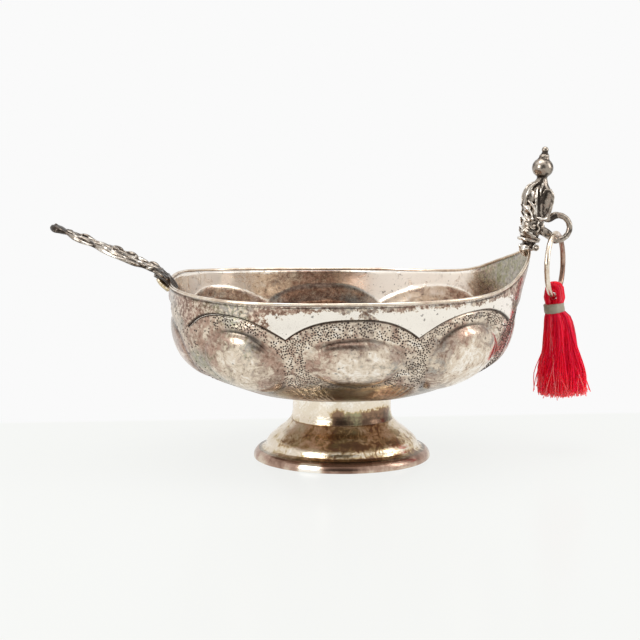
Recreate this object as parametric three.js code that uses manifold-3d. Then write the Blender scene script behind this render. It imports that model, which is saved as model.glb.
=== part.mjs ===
// A small footed silver brandy bowl: eight embossed lobes, a pierced flat handle at one end, a cast
// figure with a ring and a red tassel at the other. Millimetres, X along the bowl, Z up.
import * as THREE from 'three';
import { mergeVertices } from 'three/addons/utils/BufferGeometryUtils.js';
import Module from 'manifold-3d';

const wasm = await Module();
wasm.setup();

const degrees = Math.PI / 180;

// Clearance left at every soldered or touching seam
const seam = 0.3;

// Bowl, raised from sheet; its plan is fuller at the handle's end and longer at the prow's
const bowl = {
  halfWidth: 54.2,
  centreX: -1.2,
  handleSide: { length: 56.7, fullness: 2.6 },
  prowSide: { length: 59.4, fullness: 2.05 },
  wall: 1.0,
  rimHeight: 58.3,
  shoulderHeight: 50,
  underside: 21.6,
  flatMargin: 1.6,
  shoulderPull: 12.8,
  floorPull: 22.8,
  floorRise: 2.8,
};

// Prow, where the rim rises to carry the figure, and the slight rise at the handle's end
const prow = { rise: 12.3, spread: 21.4 * degrees, reach: 4.6, flareFrom: 46 };
const handleEnd = { rise: 1.9, spread: 42 * degrees };

// Embossing: arches with a sunk, matted ground, and an oval boss in each
// The valleys between lobes, from the prow round to the handle, the same on both sides, and how far
// each has leant towards the bowl's middle at the height of the bosses
const valleys = [34, 72, 108, 151].map((angle) => angle * degrees);
const valleyLeans = [0, 4.5, -3.5, 0].map((angle) => angle * degrees);
// Arches and bosses are set out from the shoulder; a peak lies part of the way up to the wall's edge
const arch = { valleyDrop: 3.2, peakShare: 0.45, ground: 0.8, stepHeight: 0.6, roundness: 2.4 };
const boss = { drop: 12, halfHeight: 9.6, share: 0.76, fullness: 2.1, footMargin: 1.5 };
// How far each lobe's boss stands out and sits towards the prow, from the prow's lobe to the handle's
const swells = [0.85, 2.4, 2.4, 2.4, 1.45];
const shifts = [0, 0.07, 0.07, 0.07, 0];

const rimWire = { radius: 0.65, overhang: 0.25 };

// Foot
const foot = {
  collarRadius: 16.6,
  collarWall: 1.1,
  collarBottom: 13.2,
  coneWall: 1.0,
  coneBottomRadius: 26.2,
  coneWaist: 2.9,
  baseRadius: 29.8,
  baseHeight: 3.7,
  baseWidth: 4.6,
};

// Pierced flat handle
const grip = {
  length: 41,
  rootHalfWidth: 7.5,
  halfWidth: 14.5,
  tipHalfWidth: 4.6,
  plate: 1.8,
  slope: 23 * degrees,
  lift: 1.0,
};
const lug = { width: 9, reach: 3.6, depth: 4.4 };

// Cast figure on the prow, heights above the prow's rim
const figure = {
  bodyHeight: 22.7,
  back: 8.1,
  front: 3.7,
  halfDepth: 4.4,
  headRadius: 3.6,
  headX: 4.6,
  neckRadius: 1.7,
  neckSink: 2,
  knobRadius: 1.25,
  capRadius: 1.95,
  capHeight: 0.8,
  groove: { width: 0.9, depth: 1.2, x: 1.9 },
  roll: { radius: 1.15, x: 2.2, drop: 0.6 },
  bead: { thickness: 1.0, upperHeight: 6.3, lowerHeight: 1.6, proud: 0.25 },
};

// Wire loop behind the figure, ring hanging in it, tassel on the ring
const loop = {
  wire: 1.0,
  radius: 4.15,
  out: 10.0,
  up: 6.2,
  upperSeat: { out: 7.0, up: 2.6 },
  lowerSeat: { out: 5.4, up: -1.8 },
  seatDepth: 4,
  seatMargin: 0.3,
  straight: 0.5,
};
const ring = { wire: 0.9, radius: 10.6, turn: 27.5 * degrees };
const tassel = {
  headHalfWidth: 3.5,
  headHalfDepth: 2.9,
  headAbove: 4.0,
  neckRadius: 2.4,
  bandDrop: 2.4,
  bandHeight: 3.2,
  bandWall: 0.6,
  bandTilt: 6 * degrees,
  skirtLength: 29.4,
  skirtTopRadius: 5.0,
  skirtWaistRadius: 5.6,
  skirtRadius: 8.6,
  flutes: 14,
  fluteDepth: 0.04,
};

const silver = (color, roughness) => new THREE.MeshStandardMaterial({ color, roughness, metalness: 1 });
const thread = (color) => new THREE.MeshStandardMaterial({ color, roughness: 0.7, metalness: 0 });

const lerp = THREE.MathUtils.lerp;
const smooth = THREE.MathUtils.smoothstep;
const bell = (x, spread, power) => Math.exp(-(Math.abs(x / spread) ** power));

// Angle around the bowl, brought into -180 to 180 degrees; 0 is the prow
function wrapped(t) {
  return Math.atan2(Math.sin(t), Math.cos(t));
}

function rimTop(t) {
  const fromProw = wrapped(t);
  const fromHandle = Math.PI - Math.abs(fromProw);
  const prowRise = prow.rise * bell(fromProw, prow.spread, 1.5);
  return bowl.rimHeight + prowRise + handleEnd.rise * bell(fromHandle, handleEnd.spread, 2);
}

function wallTop(t) {
  return rimTop(t) - 2 * rimWire.radius - seam;
}

// How far the prow pushes the wall out at an angle and a height
function prowPush(t, z) {
  const top = bowl.rimHeight + prow.rise;
  return prow.reach * smooth(z, prow.flareFrom, top) * bell(wrapped(t), prow.spread, 2);
}

// Power that keeps the sign
const signedPower = (x, power) => Math.sign(x) * Math.abs(x) ** power;

// Plan of the wall at an angle and a share of the rim's size: a circle at the foot that becomes the
// rim's outline, a superellipse with its own length and fullness on each side; with the normal there
function planPoint(t, share) {
  const cos = Math.cos(t);
  const sin = Math.sin(t);
  const { length, fullness } = cos < 0 ? bowl.handleSide : bowl.prowSide;
  const outline = new THREE.Vector2(
    bowl.centreX + length * signedPower(cos, 2 / fullness),
    bowl.halfWidth * signedPower(sin, 2 / fullness),
  );
  const outlineNormal = new THREE.Vector2(
    signedPower(cos, 2 - 2 / fullness) / length,
    signedPower(sin, 2 - 2 / fullness) / bowl.halfWidth,
  ).normalize();
  const around = new THREE.Vector2(cos, sin);
  const blend = smooth(share, 0.3, 0.9);
  const point = around.clone().multiplyScalar(bowl.halfWidth).lerp(outline, blend).multiplyScalar(share);
  return { point, normal: around.lerp(outlineNormal, blend).normalize() };
}

const floorRadius = foot.collarRadius + bowl.flatMargin;

// Side wall below the shoulder: a cubic Bezier from upright to flat, as radius and height
const wallCurve = new THREE.CubicBezierCurve(
  new THREE.Vector2(bowl.halfWidth, bowl.shoulderHeight),
  new THREE.Vector2(bowl.halfWidth, bowl.shoulderHeight - bowl.shoulderPull),
  new THREE.Vector2(floorRadius + bowl.floorPull, bowl.underside + bowl.floorRise),
  new THREE.Vector2(floorRadius, bowl.underside),
);

function curveParameter(z) {
  let low = 0;
  let high = 1;
  for (let i = 0; i < 30; i++) {
    const middle = (low + high) / 2;
    if (wallCurve.getPoint(middle).y > z) low = middle;
    else high = middle;
  }
  return low;
}

// Point of the smooth wall before embossing, moved by an offset along its outward normal
function wallPoint(t, radius, z, slope, offset) {
  const { point, normal } = planPoint(t, radius / bowl.halfWidth);
  const outward = new THREE.Vector3(normal.x, normal.y, 0).multiplyScalar(slope.y).setZ(-slope.x).normalize();
  return new THREE.Vector3(point.x + prowPush(t, z), point.y, z).addScaledVector(outward, offset);
}

// Point of the upright wall near the rim
function uprightPoint(t, z, offset) {
  return wallPoint(t, bowl.halfWidth, z, new THREE.Vector2(0, 1), offset);
}

const archValley = bowl.shoulderHeight - arch.valleyDrop;
const archPeak = lerp(bowl.shoulderHeight, bowl.rimHeight - 2 * rimWire.radius - seam, arch.peakShare);
const bossHeight = bowl.shoulderHeight - boss.drop;

// Edges of all lobes once around, in order
const lobeEdges = [...valleys, ...valleys.map((angle) => 2 * Math.PI - angle).reverse()];
lobeEdges.push(valleys[0] + 2 * Math.PI);

// Lobe at an angle and a height, counted from the prow, and the place across it, from -1 at its edge
// nearer the prow to 1 at the other
function lobeAt(t, z) {
  const fromProw = Math.abs(wrapped(t));
  const lean = 1 - smooth(z, bossHeight, archValley);
  const leaning = valleys.map((angle, i) => angle + lean * valleyLeans[i]);
  const edges = [-leaning[0], ...leaning, 2 * Math.PI - leaning[leaning.length - 1]];
  const next = Math.max(1, edges.findIndex((edge) => edge >= fromProw - 1e-9));
  const [from, to] = [edges[next - 1], edges[next]];
  return { lobe: next - 1, across: (2 * fromProw - from - to) / (to - from) };
}

function archHeight(t) {
  const { across } = lobeAt(t, archValley);
  return lerp(archValley, archPeak, 1 - Math.min(1, Math.abs(across)) ** arch.roundness);
}

function emboss(t, z) {
  const { lobe, across } = lobeAt(t, z);
  const beside = Math.abs(across + shifts[lobe]) / boss.share;
  const above = Math.abs(z - bossHeight) / boss.halfHeight;
  const toEdge = beside ** boss.fullness + above ** boss.fullness;
  const dome = toEdge < 1 ? swells[lobe] * Math.sqrt(1 - toEdge) : 0;
  const fade = smooth(z, bowl.underside + boss.footMargin, bossHeight - boss.halfHeight);
  return dome - arch.ground * fade;
}

// Rows of the wall at one angle, from the top edge to the edge of the flat floor
function wallRows(t, offset) {
  const rows = [];
  const lip = archHeight(t);
  const upright = new THREE.Vector2(0, 1);
  const bandRows = 3;
  for (let i = 0; i <= bandRows; i++) {
    const z = lerp(wallTop(t), lip, i / bandRows);
    const onCurve = z < bowl.shoulderHeight ? wallCurve.getPoint(curveParameter(z)).x : bowl.halfWidth;
    rows.push(wallPoint(t, onCurve, z, upright, offset));
  }
  const sideRows = 15;
  const start = lip - arch.stepHeight;
  const from = start < bowl.shoulderHeight ? curveParameter(start) : 0;
  const aboveCurve = Math.max(0, start - bowl.shoulderHeight);
  for (let i = 0; i <= sideRows; i++) {
    const along = lerp(from, 1, i / sideRows);
    const point = wallCurve.getPoint(along);
    const tangent = wallCurve.getTangent(along);
    const z = point.y + aboveCurve * (1 - i / sideRows) ** 4;
    const slope = new THREE.Vector2(-tangent.x, -tangent.y);
    rows.push(wallPoint(t, point.x, z, slope, offset + emboss(t, z)));
  }
  return rows;
}

// Closed body from two matching stacks of rows around the full circle, joined at the first row,
// with each stack closed on its own point below
function shellOfRows(outer, inner, outerPole, innerPole) {
  const around = outer.length;
  const rows = outer[0].length;
  const vertices = [];
  for (const column of [...outer, ...inner]) {
    for (const point of column) vertices.push(...point.toArray());
  }
  vertices.push(...outerPole.toArray(), ...innerPole.toArray());
  const place = (column, row) => (column % around) * rows + row;
  const innerStart = around * rows;
  const poles = 2 * around * rows;
  const index = [];
  for (let c = 0; c < around; c++) {
    for (let r = 0; r < rows - 1; r++) {
      const [a, b, d, e] = [place(c, r), place(c, r + 1), place(c + 1, r), place(c + 1, r + 1)];
      index.push(a, b, e, a, e, d);
      index.push(...[a, e, b, a, d, e].map((corner) => innerStart + corner));
    }
    const [last, next] = [place(c, rows - 1), place(c + 1, rows - 1)];
    index.push(last, poles, next, innerStart + last, innerStart + next, poles + 1);
    const [first, second] = [place(c, 0), place(c + 1, 0)];
    index.push(first, second, innerStart + second, first, innerStart + second, innerStart + first);
  }
  return indexedGeometry(vertices, index);
}

function indexedGeometry(vertices, index) {
  const geometry = new THREE.BufferGeometry();
  geometry.setAttribute('position', new THREE.Float32BufferAttribute(vertices, 3));
  geometry.setIndex(index);
  geometry.computeVertexNormals();
  return geometry;
}

// Bowl

function bowlBody() {
  const outer = [];
  const inner = [];
  const perLobe = 12;
  for (let lobe = 0; lobe < lobeEdges.length - 1; lobe++) {
    for (let i = 0; i < perLobe; i++) {
      const t = lerp(lobeEdges[lobe], lobeEdges[lobe + 1], i / perLobe);
      outer.push(wallRows(t, 0));
      inner.push(wallRows(t, -bowl.wall));
    }
  }
  const outerPole = new THREE.Vector3(0, 0, bowl.underside);
  const innerPole = new THREE.Vector3(0, 0, bowl.underside + bowl.wall);
  return shellOfRows(outer, inner, outerPole, innerPole);
}

// Closed tube around a loop of points, kept upright
function closedTube(points, radius, sides) {
  const vertices = [];
  const index = [];
  const count = points.length;
  points.forEach((point, i) => {
    const ahead = points[(i + 1) % count];
    const behind = points[(i + count - 1) % count];
    const tangent = ahead.clone().sub(behind).normalize();
    const outward = tangent.clone().cross(new THREE.Vector3(0, 0, 1)).normalize();
    const upward = outward.clone().cross(tangent);
    for (let s = 0; s < sides; s++) {
      const turn = (s / sides) * 2 * Math.PI;
      const corner = point.clone();
      corner.addScaledVector(outward, radius * Math.cos(turn));
      corner.addScaledVector(upward, radius * Math.sin(turn));
      vertices.push(...corner.toArray());
      const besideBy = ((s + 1) % sides) - s;
      const here = i * sides + s;
      const next = ((i + 1) % count) * sides + s;
      index.push(here, next, next + besideBy, here, next + besideBy, here + besideBy);
    }
  });
  return indexedGeometry(vertices, index);
}

// Centre of the rim wire at an angle, over the middle of the wall's top edge
function rimPoint(t) {
  return uprightPoint(t, rimTop(t) - rimWire.radius, rimWire.overhang - rimWire.radius);
}

function rimWireBody() {
  const points = [];
  const around = 96;
  for (let i = 0; i < around; i++) points.push(rimPoint((i / around) * 2 * Math.PI));
  return closedTube(points, rimWire.radius, 8);
}

// Foot

function turned(profile, segments = 48) {
  const points = profile.map(([r, z]) => new THREE.Vector2(r, z));
  return new THREE.LatheGeometry(points, segments).rotateX(Math.PI / 2);
}

function footCollar() {
  const { collarRadius, collarWall, collarBottom } = foot;
  const top = bowl.underside - seam;
  const inside = collarRadius - collarWall;
  return turned([
    [inside, collarBottom], [collarRadius, collarBottom],
    [collarRadius, top], [inside, top], [inside, collarBottom],
  ]);
}

function footCone() {
  const top = new THREE.Vector2(foot.collarRadius + 0.2, foot.collarBottom - seam);
  const bottom = new THREE.Vector2(foot.coneBottomRadius, foot.baseHeight + seam);
  const waist = new THREE.Vector2(foot.collarRadius + foot.coneWaist, lerp(top.y, bottom.y, 0.42));
  const flare = new THREE.QuadraticBezierCurve(top, waist, bottom);
  const inside = flare.getPoints(8).map((p) => [p.x - foot.coneWall, p.y]);
  const outside = flare.getPoints(8).map((p) => [p.x, p.y]).reverse();
  return turned([...outside, ...inside, outside[0]]);
}

// Base ring, upright at the table and rounded over to the cone
function footRing() {
  const { baseRadius, baseHeight, baseWidth, coneBottomRadius } = foot;
  const inside = baseRadius - baseWidth;
  const top = coneBottomRadius + 0.3;
  return turned([
    [inside, 0], [baseRadius - 0.2, 0], [baseRadius, 0.08 * baseHeight],
    [lerp(baseRadius, top, 0.03), 0.4 * baseHeight], [lerp(baseRadius, top, 0.17), 0.63 * baseHeight],
    [lerp(baseRadius, top, 0.45), 0.84 * baseHeight],
    [top, baseHeight], [inside, baseHeight], [inside, 0],
  ]);
}

// Pierced handle, drawn flat with its root at the origin and its tip along X

function mirrored(points) {
  const back = points.slice(0, -1).reverse().map(([x, y]) => [x, -y]);
  return [...points, ...back];
}

function gripOutline() {
  const { length, rootHalfWidth, halfWidth, tipHalfWidth } = grip;
  const half = [
    [0, rootHalfWidth], [0.07 * length, 0.72 * halfWidth], [0.19 * length, 0.62 * halfWidth],
    [0.28 * length, 0.9 * halfWidth], [0.4 * length, halfWidth], [0.52 * length, 0.84 * halfWidth],
    [0.6 * length, 0.6 * halfWidth], [0.68 * length, 0.68 * halfWidth], [0.78 * length, 0.56 * halfWidth],
    [0.85 * length, tipHalfWidth], [0.93 * length, 0.85 * tipHalfWidth], [length, 0],
  ];
  const points = mirrored(half).map(([x, y]) => new THREE.Vector2(x, y));
  const shape = new THREE.Shape();
  shape.moveTo(points[0].x, points[0].y);
  shape.splineThru(points.slice(1));
  shape.closePath();
  return shape;
}

// Openings between the scrolls: place along and across the handle, half sizes, and turn
function gripOpenings() {
  const { length, halfWidth } = grip;
  const pair = (x, y, long, wide, turn) => [
    [x, y, long, wide, turn],
    [x, -y, long, wide, -turn],
  ];
  const places = [
    ...pair(0.13, 0.36, 2.6, 1.7, 0.5),
    [0.27, 0, 3.2, 1.7, 0],
    ...pair(0.36, 0.56, 3.7, 2.3, -0.35),
    [0.5, 0, 2.4, 1.5, 0],
    ...pair(0.59, 0.3, 2.3, 1.3, 0.6),
    ...pair(0.74, 0.33, 2.1, 1.2, -0.3),
    [0.8, 0, 2.0, 0.9, 0],
  ];
  return places.map(([x, y, long, wide, turn]) => {
    const hole = new THREE.Path();
    hole.absellipse(x * length, y * halfWidth, long, wide, 0, 2 * Math.PI, false, turn);
    return hole;
  });
}

const gripAlong = new THREE.Vector3(-Math.cos(grip.slope), 0, Math.sin(grip.slope));
const gripRoot = rimPoint(Math.PI)
  .add(new THREE.Vector3(-rimWire.radius - seam, 0, rimWire.radius + grip.plate + seam + grip.lift));

function piercedHandle() {
  const shape = gripOutline();
  shape.holes.push(...gripOpenings());
  const extrusion = { depth: grip.plate, bevelEnabled: false, curveSegments: 4 };
  const plate = new THREE.ExtrudeGeometry(shape, extrusion);
  const across = new THREE.Vector3(0, 1, 0);
  const down = gripAlong.clone().cross(across);
  plate.applyMatrix4(new THREE.Matrix4().makeBasis(gripAlong, across, down).setPosition(gripRoot));
  return plate;
}

// Tongue under the handle's root, against the rim's outside
function handleLug() {
  const underRoot = gripRoot.z - (grip.plate + seam) / Math.cos(grip.slope);
  const rise = Math.tan(grip.slope);
  const shape = new THREE.Shape();
  shape.moveTo(0, underRoot);
  shape.lineTo(lug.reach, underRoot + lug.reach * rise);
  shape.quadraticCurveTo(lug.reach * 0.7, underRoot - lug.depth * 0.3, 0, underRoot - lug.depth);
  shape.closePath();
  const solid = new THREE.ExtrudeGeometry(shape, { depth: lug.width, bevelEnabled: false, curveSegments: 5 });
  solid.rotateX(Math.PI / 2).rotateZ(Math.PI);
  return solid.translate(gripRoot.x, -lug.width / 2, 0);
}

// Booleans

function toSolid(geometry) {
  const bare = geometry.clone();
  bare.deleteAttribute('normal');
  bare.deleteAttribute('uv');
  const merged = mergeVertices(bare, 1e-4);
  const vertProperties = new Float32Array(merged.attributes.position.array);
  const triVerts = new Uint32Array(merged.index.array);
  return new wasm.Manifold(new wasm.Mesh({ numProp: 3, vertProperties, triVerts }));
}

function toGeometry(solid) {
  const mesh = solid.getMesh();
  return indexedGeometry(Array.from(mesh.vertProperties), Array.from(mesh.triVerts));
}

// Figure: stacked oval sections give the draped body, balls and turned pieces its head and cap

const prowTip = rimPoint(0);
const figureFoot = prowTip.z + rimWire.radius;

// Solid through oval sections, each with its height, back and front along X, and half depth
function ovalStack(sections, sides) {
  const vertices = [];
  const index = [];
  for (const [z, from, to, halfDepth] of sections) {
    for (let s = 0; s < sides; s++) {
      const turn = (s / sides) * 2 * Math.PI;
      const x = (from + to) / 2 + ((to - from) / 2) * Math.cos(turn);
      vertices.push(x, halfDepth * Math.sin(turn), z);
    }
  }
  const layers = sections.length;
  for (let k = 0; k < layers - 1; k++) {
    for (let s = 0; s < sides; s++) {
      const [a, b] = [k * sides + s, k * sides + ((s + 1) % sides)];
      index.push(a, b, b + sides, a, b + sides, a + sides);
    }
  }
  for (let s = 1; s < sides - 1; s++) {
    const top = (layers - 1) * sides;
    index.push(0, s + 1, s, top, top + s, top + s + 1);
  }
  return indexedGeometry(vertices, index);
}

// Draped body, from the clasp below the rim up to the neck, as shares of its height, of its reach to
// the front and the back, and of its half depth
function figureBody() {
  const sections = [
    [-0.13, -0.43, 0.2, 0.6],
    [-0.02, -0.92, 0.37, 0.85],
    [0.08, -1, 0.51, 1],
    [0.16, -0.92, 0.57, 0.95],
    [0.24, -0.95, 0.64, 0.9],
    [0.34, -0.81, 0.67, 0.92],
    [0.5, -0.65, 0.86, 1],
    [0.64, -0.7, 0.98, 1.05],
    [0.76, -0.62, 1, 1.02],
    [0.85, -0.32, 0.89, 0.8],
    [0.92, 0.16, 0.77, 0.58],
    [1, 0.59, 0.77, 0.45],
  ];
  const reach = (share) => prowTip.x + share * (share < 0 ? figure.front : figure.back);
  return ovalStack(sections.map(([height, from, to, depth]) => [
    figureFoot + height * figure.bodyHeight, reach(from), reach(to), depth * figure.halfDepth,
  ]), 18);
}

// Neck, ball head, cap and knob, turned as one
function figureHead() {
  const { headRadius, knobRadius, capRadius, capHeight, bodyHeight, neckRadius, neckSink } = figure;
  const centre = bodyHeight + headRadius;
  const capBottom = centre + 0.85 * headRadius;
  const capTop = centre + headRadius + capHeight;
  const profile = [[0, bodyHeight - neckSink], [neckRadius, bodyHeight - neckSink], [neckRadius, bodyHeight]];
  const steps = 10;
  for (let i = 2; i <= steps - 2; i++) {
    const turn = (i / steps) * Math.PI;
    profile.push([headRadius * Math.sin(turn), centre - headRadius * Math.cos(turn)]);
  }
  profile.push([capRadius, capBottom], [capRadius, lerp(capBottom, capTop, 0.75)]);
  profile.push([0.55 * capRadius, capTop], [0.7 * knobRadius, capTop + 0.2 * knobRadius]);
  for (let i = 1; i <= 5; i++) {
    const turn = lerp(0.25, 1, i / 5) * Math.PI;
    profile.push([knobRadius * Math.sin(turn), capTop + knobRadius * (1 - Math.cos(turn))]);
  }
  profile[profile.length - 1][0] = 0;
  return turned(profile, 20).translate(prowTip.x + figure.headX, 0, figureFoot);
}

// Flat seat on the figure's back that takes one end of the loop
function loopSeat(seat) {
  const size = 2 * (loop.wire + loop.seatMargin);
  const x = prowTip.x + seat.out - loop.seatDepth / 2;
  return new THREE.BoxGeometry(loop.seatDepth, size, size).translate(x, 0, figureFoot + loop.up + seat.up);
}

// Grooves that part the back panel from the folds in front, one on each side
function figureGroove(side) {
  const { groove, halfDepth, bodyHeight } = figure;
  const cut = new THREE.BoxGeometry(groove.width, 2 * groove.depth, 0.42 * bodyHeight);
  return cut.translate(prowTip.x + groove.x, side * 1.07 * halfDepth, figureFoot + 0.6 * bodyHeight);
}

function scrollRoll() {
  const { radius, x, drop } = figure.roll;
  const roll = new THREE.CylinderGeometry(radius, radius, 1.7 * figure.halfDepth, 14);
  return roll.translate(prowTip.x + x, 0, figureFoot - drop);
}

// Moulded ring around the body between two shares of its reach
function beadRing(height, from, to) {
  const { thickness, proud } = figure.bead;
  const [front, back] = [from * figure.front - proud, to * figure.back + proud];
  const bead = new THREE.TorusGeometry(1, 0.16, 6, 20);
  bead.scale((back - front) / 2, figure.halfDepth, thickness / 0.32);
  return bead.translate(prowTip.x + (front + back) / 2, 0, figureFoot + height);
}

// The rim wire and the wall's top, grown by the seam: what the figure's clasp leaves room for
function prowCutter() {
  const span = Math.asin((3 * figure.halfDepth) / bowl.halfWidth);
  const steps = 12;
  const depth = 0.4 * figure.bodyHeight;
  const sections = [];
  for (let i = 0; i <= steps; i++) {
    const t = lerp(-span, span, i / steps);
    const top = rimTop(t) + seam;
    const outside = rimWire.overhang + seam;
    const inside = rimWire.overhang - 2 * rimWire.radius - seam;
    sections.push([
      uprightPoint(t, top, outside),
      uprightPoint(t, top, inside),
      uprightPoint(t, top - depth, inside),
      uprightPoint(t, top - depth, outside),
    ]);
  }
  const vertices = sections.flat().flatMap((p) => p.toArray());
  const index = [];
  for (let i = 0; i < steps; i++) {
    for (let s = 0; s < 4; s++) {
      const [a, b] = [i * 4 + s, i * 4 + ((s + 1) % 4)];
      index.push(a, b + 4, b, a, a + 4, b + 4);
    }
  }
  const end = steps * 4;
  index.push(0, 1, 2, 0, 2, 3, end, end + 2, end + 1, end, end + 3, end + 2);
  return indexedGeometry(vertices, index);
}

function figureHandle() {
  const seats = [loopSeat(loop.upperSeat), loopSeat(loop.lowerSeat)];
  const lowerBead = beadRing(figure.bead.lowerHeight, -0.95, 0.53);
  const upperBead = beadRing(figure.bead.upperHeight, -0.95, 0.57);
  const added = [figureHead(), ...seats, scrollRoll(), lowerBead, upperBead];
  const cut = [figureGroove(1), figureGroove(-1), prowCutter()];
  let solid = toSolid(figureBody());
  for (const piece of added) solid = solid.add(toSolid(piece));
  for (const piece of cut) solid = solid.subtract(toSolid(piece));
  return toGeometry(solid);
}

// Loop, ring and tassel

const loopCentre = new THREE.Vector3(prowTip.x + loop.out, 0, figureFoot + loop.up);

function wireShape(radius, sides) {
  const shape = new THREE.Shape();
  for (let s = 0; s < sides; s++) {
    const turn = (s / sides) * 2 * Math.PI;
    if (s === 0) shape.moveTo(radius, 0);
    else shape.lineTo(radius * Math.cos(turn), radius * Math.sin(turn));
  }
  shape.closePath();
  return shape;
}

function figureLoop() {
  const end = ({ out, up }, run) => new THREE.Vector3(prowTip.x + out + seam + run, 0, loopCentre.z + up);
  const points = [end(loop.upperSeat, 0), end(loop.upperSeat, loop.straight)];
  for (let angle = 118; angle >= -118; angle -= 20) {
    const turn = angle * degrees;
    const out = new THREE.Vector3(Math.cos(turn), 0, Math.sin(turn)).multiplyScalar(loop.radius);
    points.push(loopCentre.clone().add(out));
  }
  points.push(end(loop.lowerSeat, loop.straight), end(loop.lowerSeat, 0));
  const path = new THREE.CatmullRomCurve3(points);
  const section = wireShape(loop.wire, 8);
  return new THREE.ExtrudeGeometry(section, { steps: 30, extrudePath: path, bevelEnabled: false });
}

const ringCentre = loopCentre.clone();
ringCentre.z += loop.wire - loop.radius + seam + ring.wire - ring.radius;

function hangingRing() {
  const torus = new THREE.TorusGeometry(ring.radius, ring.wire, 8, 36);
  torus.rotateX(Math.PI / 2).rotateZ(Math.PI / 2 - ring.turn);
  return torus.translate(ringCentre.x, ringCentre.y, ringCentre.z);
}

const ringBottom = ringCentre.z - ring.radius;
const headTop = ringBottom + ring.wire + tassel.headAbove;
const bandTop = ringBottom - tassel.bandDrop;
const bandMiddle = bandTop - tassel.bandHeight / 2;
const skirtBottom = bandTop - tassel.bandHeight - tassel.skirtLength;

function onTassel(geometry) {
  return geometry.translate(ringCentre.x, ringCentre.y, 0);
}

// Bundle of thread looped over the ring, with a hole where the ring runs through
function tasselLoop() {
  const { headHalfWidth, headHalfDepth, neckRadius } = tassel;
  const bottom = bandMiddle + seam / 2;
  const crown = new THREE.CubicBezierCurve(
    new THREE.Vector2(neckRadius, bandTop + seam),
    new THREE.Vector2(headHalfWidth * 1.25, bandTop + 1.5),
    new THREE.Vector2(headHalfWidth * 1.15, headTop - 0.2),
    new THREE.Vector2(0, headTop),
  );
  const profile = [[0, bottom], [neckRadius, bottom], ...crown.getPoints(9).map((p) => [p.x, p.y])];
  const head = turned(profile, 24).scale(1, headHalfDepth / headHalfWidth, 1).rotateZ(-ring.turn);
  const sag = ring.radius - Math.sqrt(ring.radius ** 2 - headHalfDepth ** 2);
  const holeRadius = ring.wire + seam + sag / 2;
  const hole = new THREE.CylinderGeometry(holeRadius, holeRadius, 4 * headHalfWidth, 16);
  hole.rotateZ(-ring.turn).translate(0, 0, ringBottom + sag / 2);
  return onTassel(toGeometry(toSolid(head).subtract(toSolid(hole))));
}

function tasselBand() {
  const inside = tassel.neckRadius + seam + 0.1;
  const outside = inside + tassel.bandWall;
  const half = tassel.bandHeight / 2;
  const section = [[inside, -half], [outside, -half], [outside, half], [inside, half], [inside, -half]];
  return onTassel(turned(section, 24).rotateY(-tassel.bandTilt).translate(0, 0, bandMiddle));
}

// Hanging threads as one fluted skirt
function tasselSkirt() {
  const { neckRadius, skirtLength, flutes, fluteDepth } = tassel;
  const { skirtTopRadius: shoulder, skirtWaistRadius: waist, skirtRadius: hem } = tassel;
  const top = bandMiddle - seam / 2;
  const below = bandTop - tassel.bandHeight - 2 * seam;
  const rows = [
    [top, neckRadius],
    [below, neckRadius],
    [below - 0.03 * skirtLength, 0.8 * shoulder],
    [below - 0.08 * skirtLength, shoulder],
    [below - 0.23 * skirtLength, lerp(shoulder, waist, 0.8)],
    [below - 0.45 * skirtLength, waist],
    [below - 0.62 * skirtLength, 0.8 * hem],
    [below - 0.82 * skirtLength, hem],
    [skirtBottom + 0.04 * skirtLength, hem],
    [skirtBottom, 0.86 * hem],
  ];
  const sides = 4 * flutes;
  const columns = [];
  for (let s = 0; s < sides; s++) {
    const turn = (s / sides) * 2 * Math.PI;
    const wave = fluteDepth * Math.cos(flutes * turn);
    columns.push(rows.map(([z, r], i) => {
      const radius = r * (1 + wave * Math.min(1, i / 4));
      return new THREE.Vector3(radius * Math.cos(turn), radius * Math.sin(turn), z);
    }));
  }
  const vertices = columns.flat().flatMap((p) => p.toArray());
  const count = rows.length;
  const index = [];
  vertices.push(0, 0, top, 0, 0, skirtBottom);
  const poles = sides * count;
  for (let s = 0; s < sides; s++) {
    const [here, next] = [s * count, ((s + 1) % sides) * count];
    for (let r = 0; r < count - 1; r++) {
      index.push(here + r, here + r + 1, next + r + 1, here + r, next + r + 1, next + r);
    }
    index.push(poles, here, next, poles + 1, next + count - 1, here + count - 1);
  }
  return onTassel(indexedGeometry(vertices, index));
}

// Assembly, stood on its foot with the middle of its box over the origin

const pieces = [
  ['bowl_body', bowlBody, silver(0xb9aa9d, 0.34)],
  ['rim_wire', rimWireBody, silver(0xe4dccf, 0.25)],
  ['foot_collar', footCollar, silver(0xd9c49a, 0.3)],
  ['foot_cone', footCone, silver(0x8f7a5c, 0.35)],
  ['foot_ring', footRing, silver(0xa89273, 0.32)],
  ['handle_lug', handleLug, silver(0xb7a894, 0.35)],
  ['pierced_handle', piercedHandle, silver(0x6f675c, 0.45)],
  ['figure_handle', figureHandle, silver(0x857969, 0.4)],
  ['figure_loop', figureLoop, silver(0x8a7d68, 0.4)],
  ['hanging_ring', hangingRing, silver(0xc4bca9, 0.3)],
  ['tassel_loop', tasselLoop, thread(0xd81a30)],
  ['tassel_band', tasselBand, thread(0x8f8b78)],
  ['tassel_skirt', tasselSkirt, thread(0xd81a30)],
];

const brandyBowl = new THREE.Group();
for (const [name, make, material] of pieces) {
  const mesh = new THREE.Mesh(make(), material);
  mesh.name = name;
  brandyBowl.add(mesh);
}
const box = new THREE.Box3().setFromObject(brandyBowl);
brandyBowl.position.set(-(box.min.x + box.max.x) / 2, -(box.min.y + box.max.y) / 2, -box.min.z);
brandyBowl.updateMatrixWorld(true);

export default brandyBowl;
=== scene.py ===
import math

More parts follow.
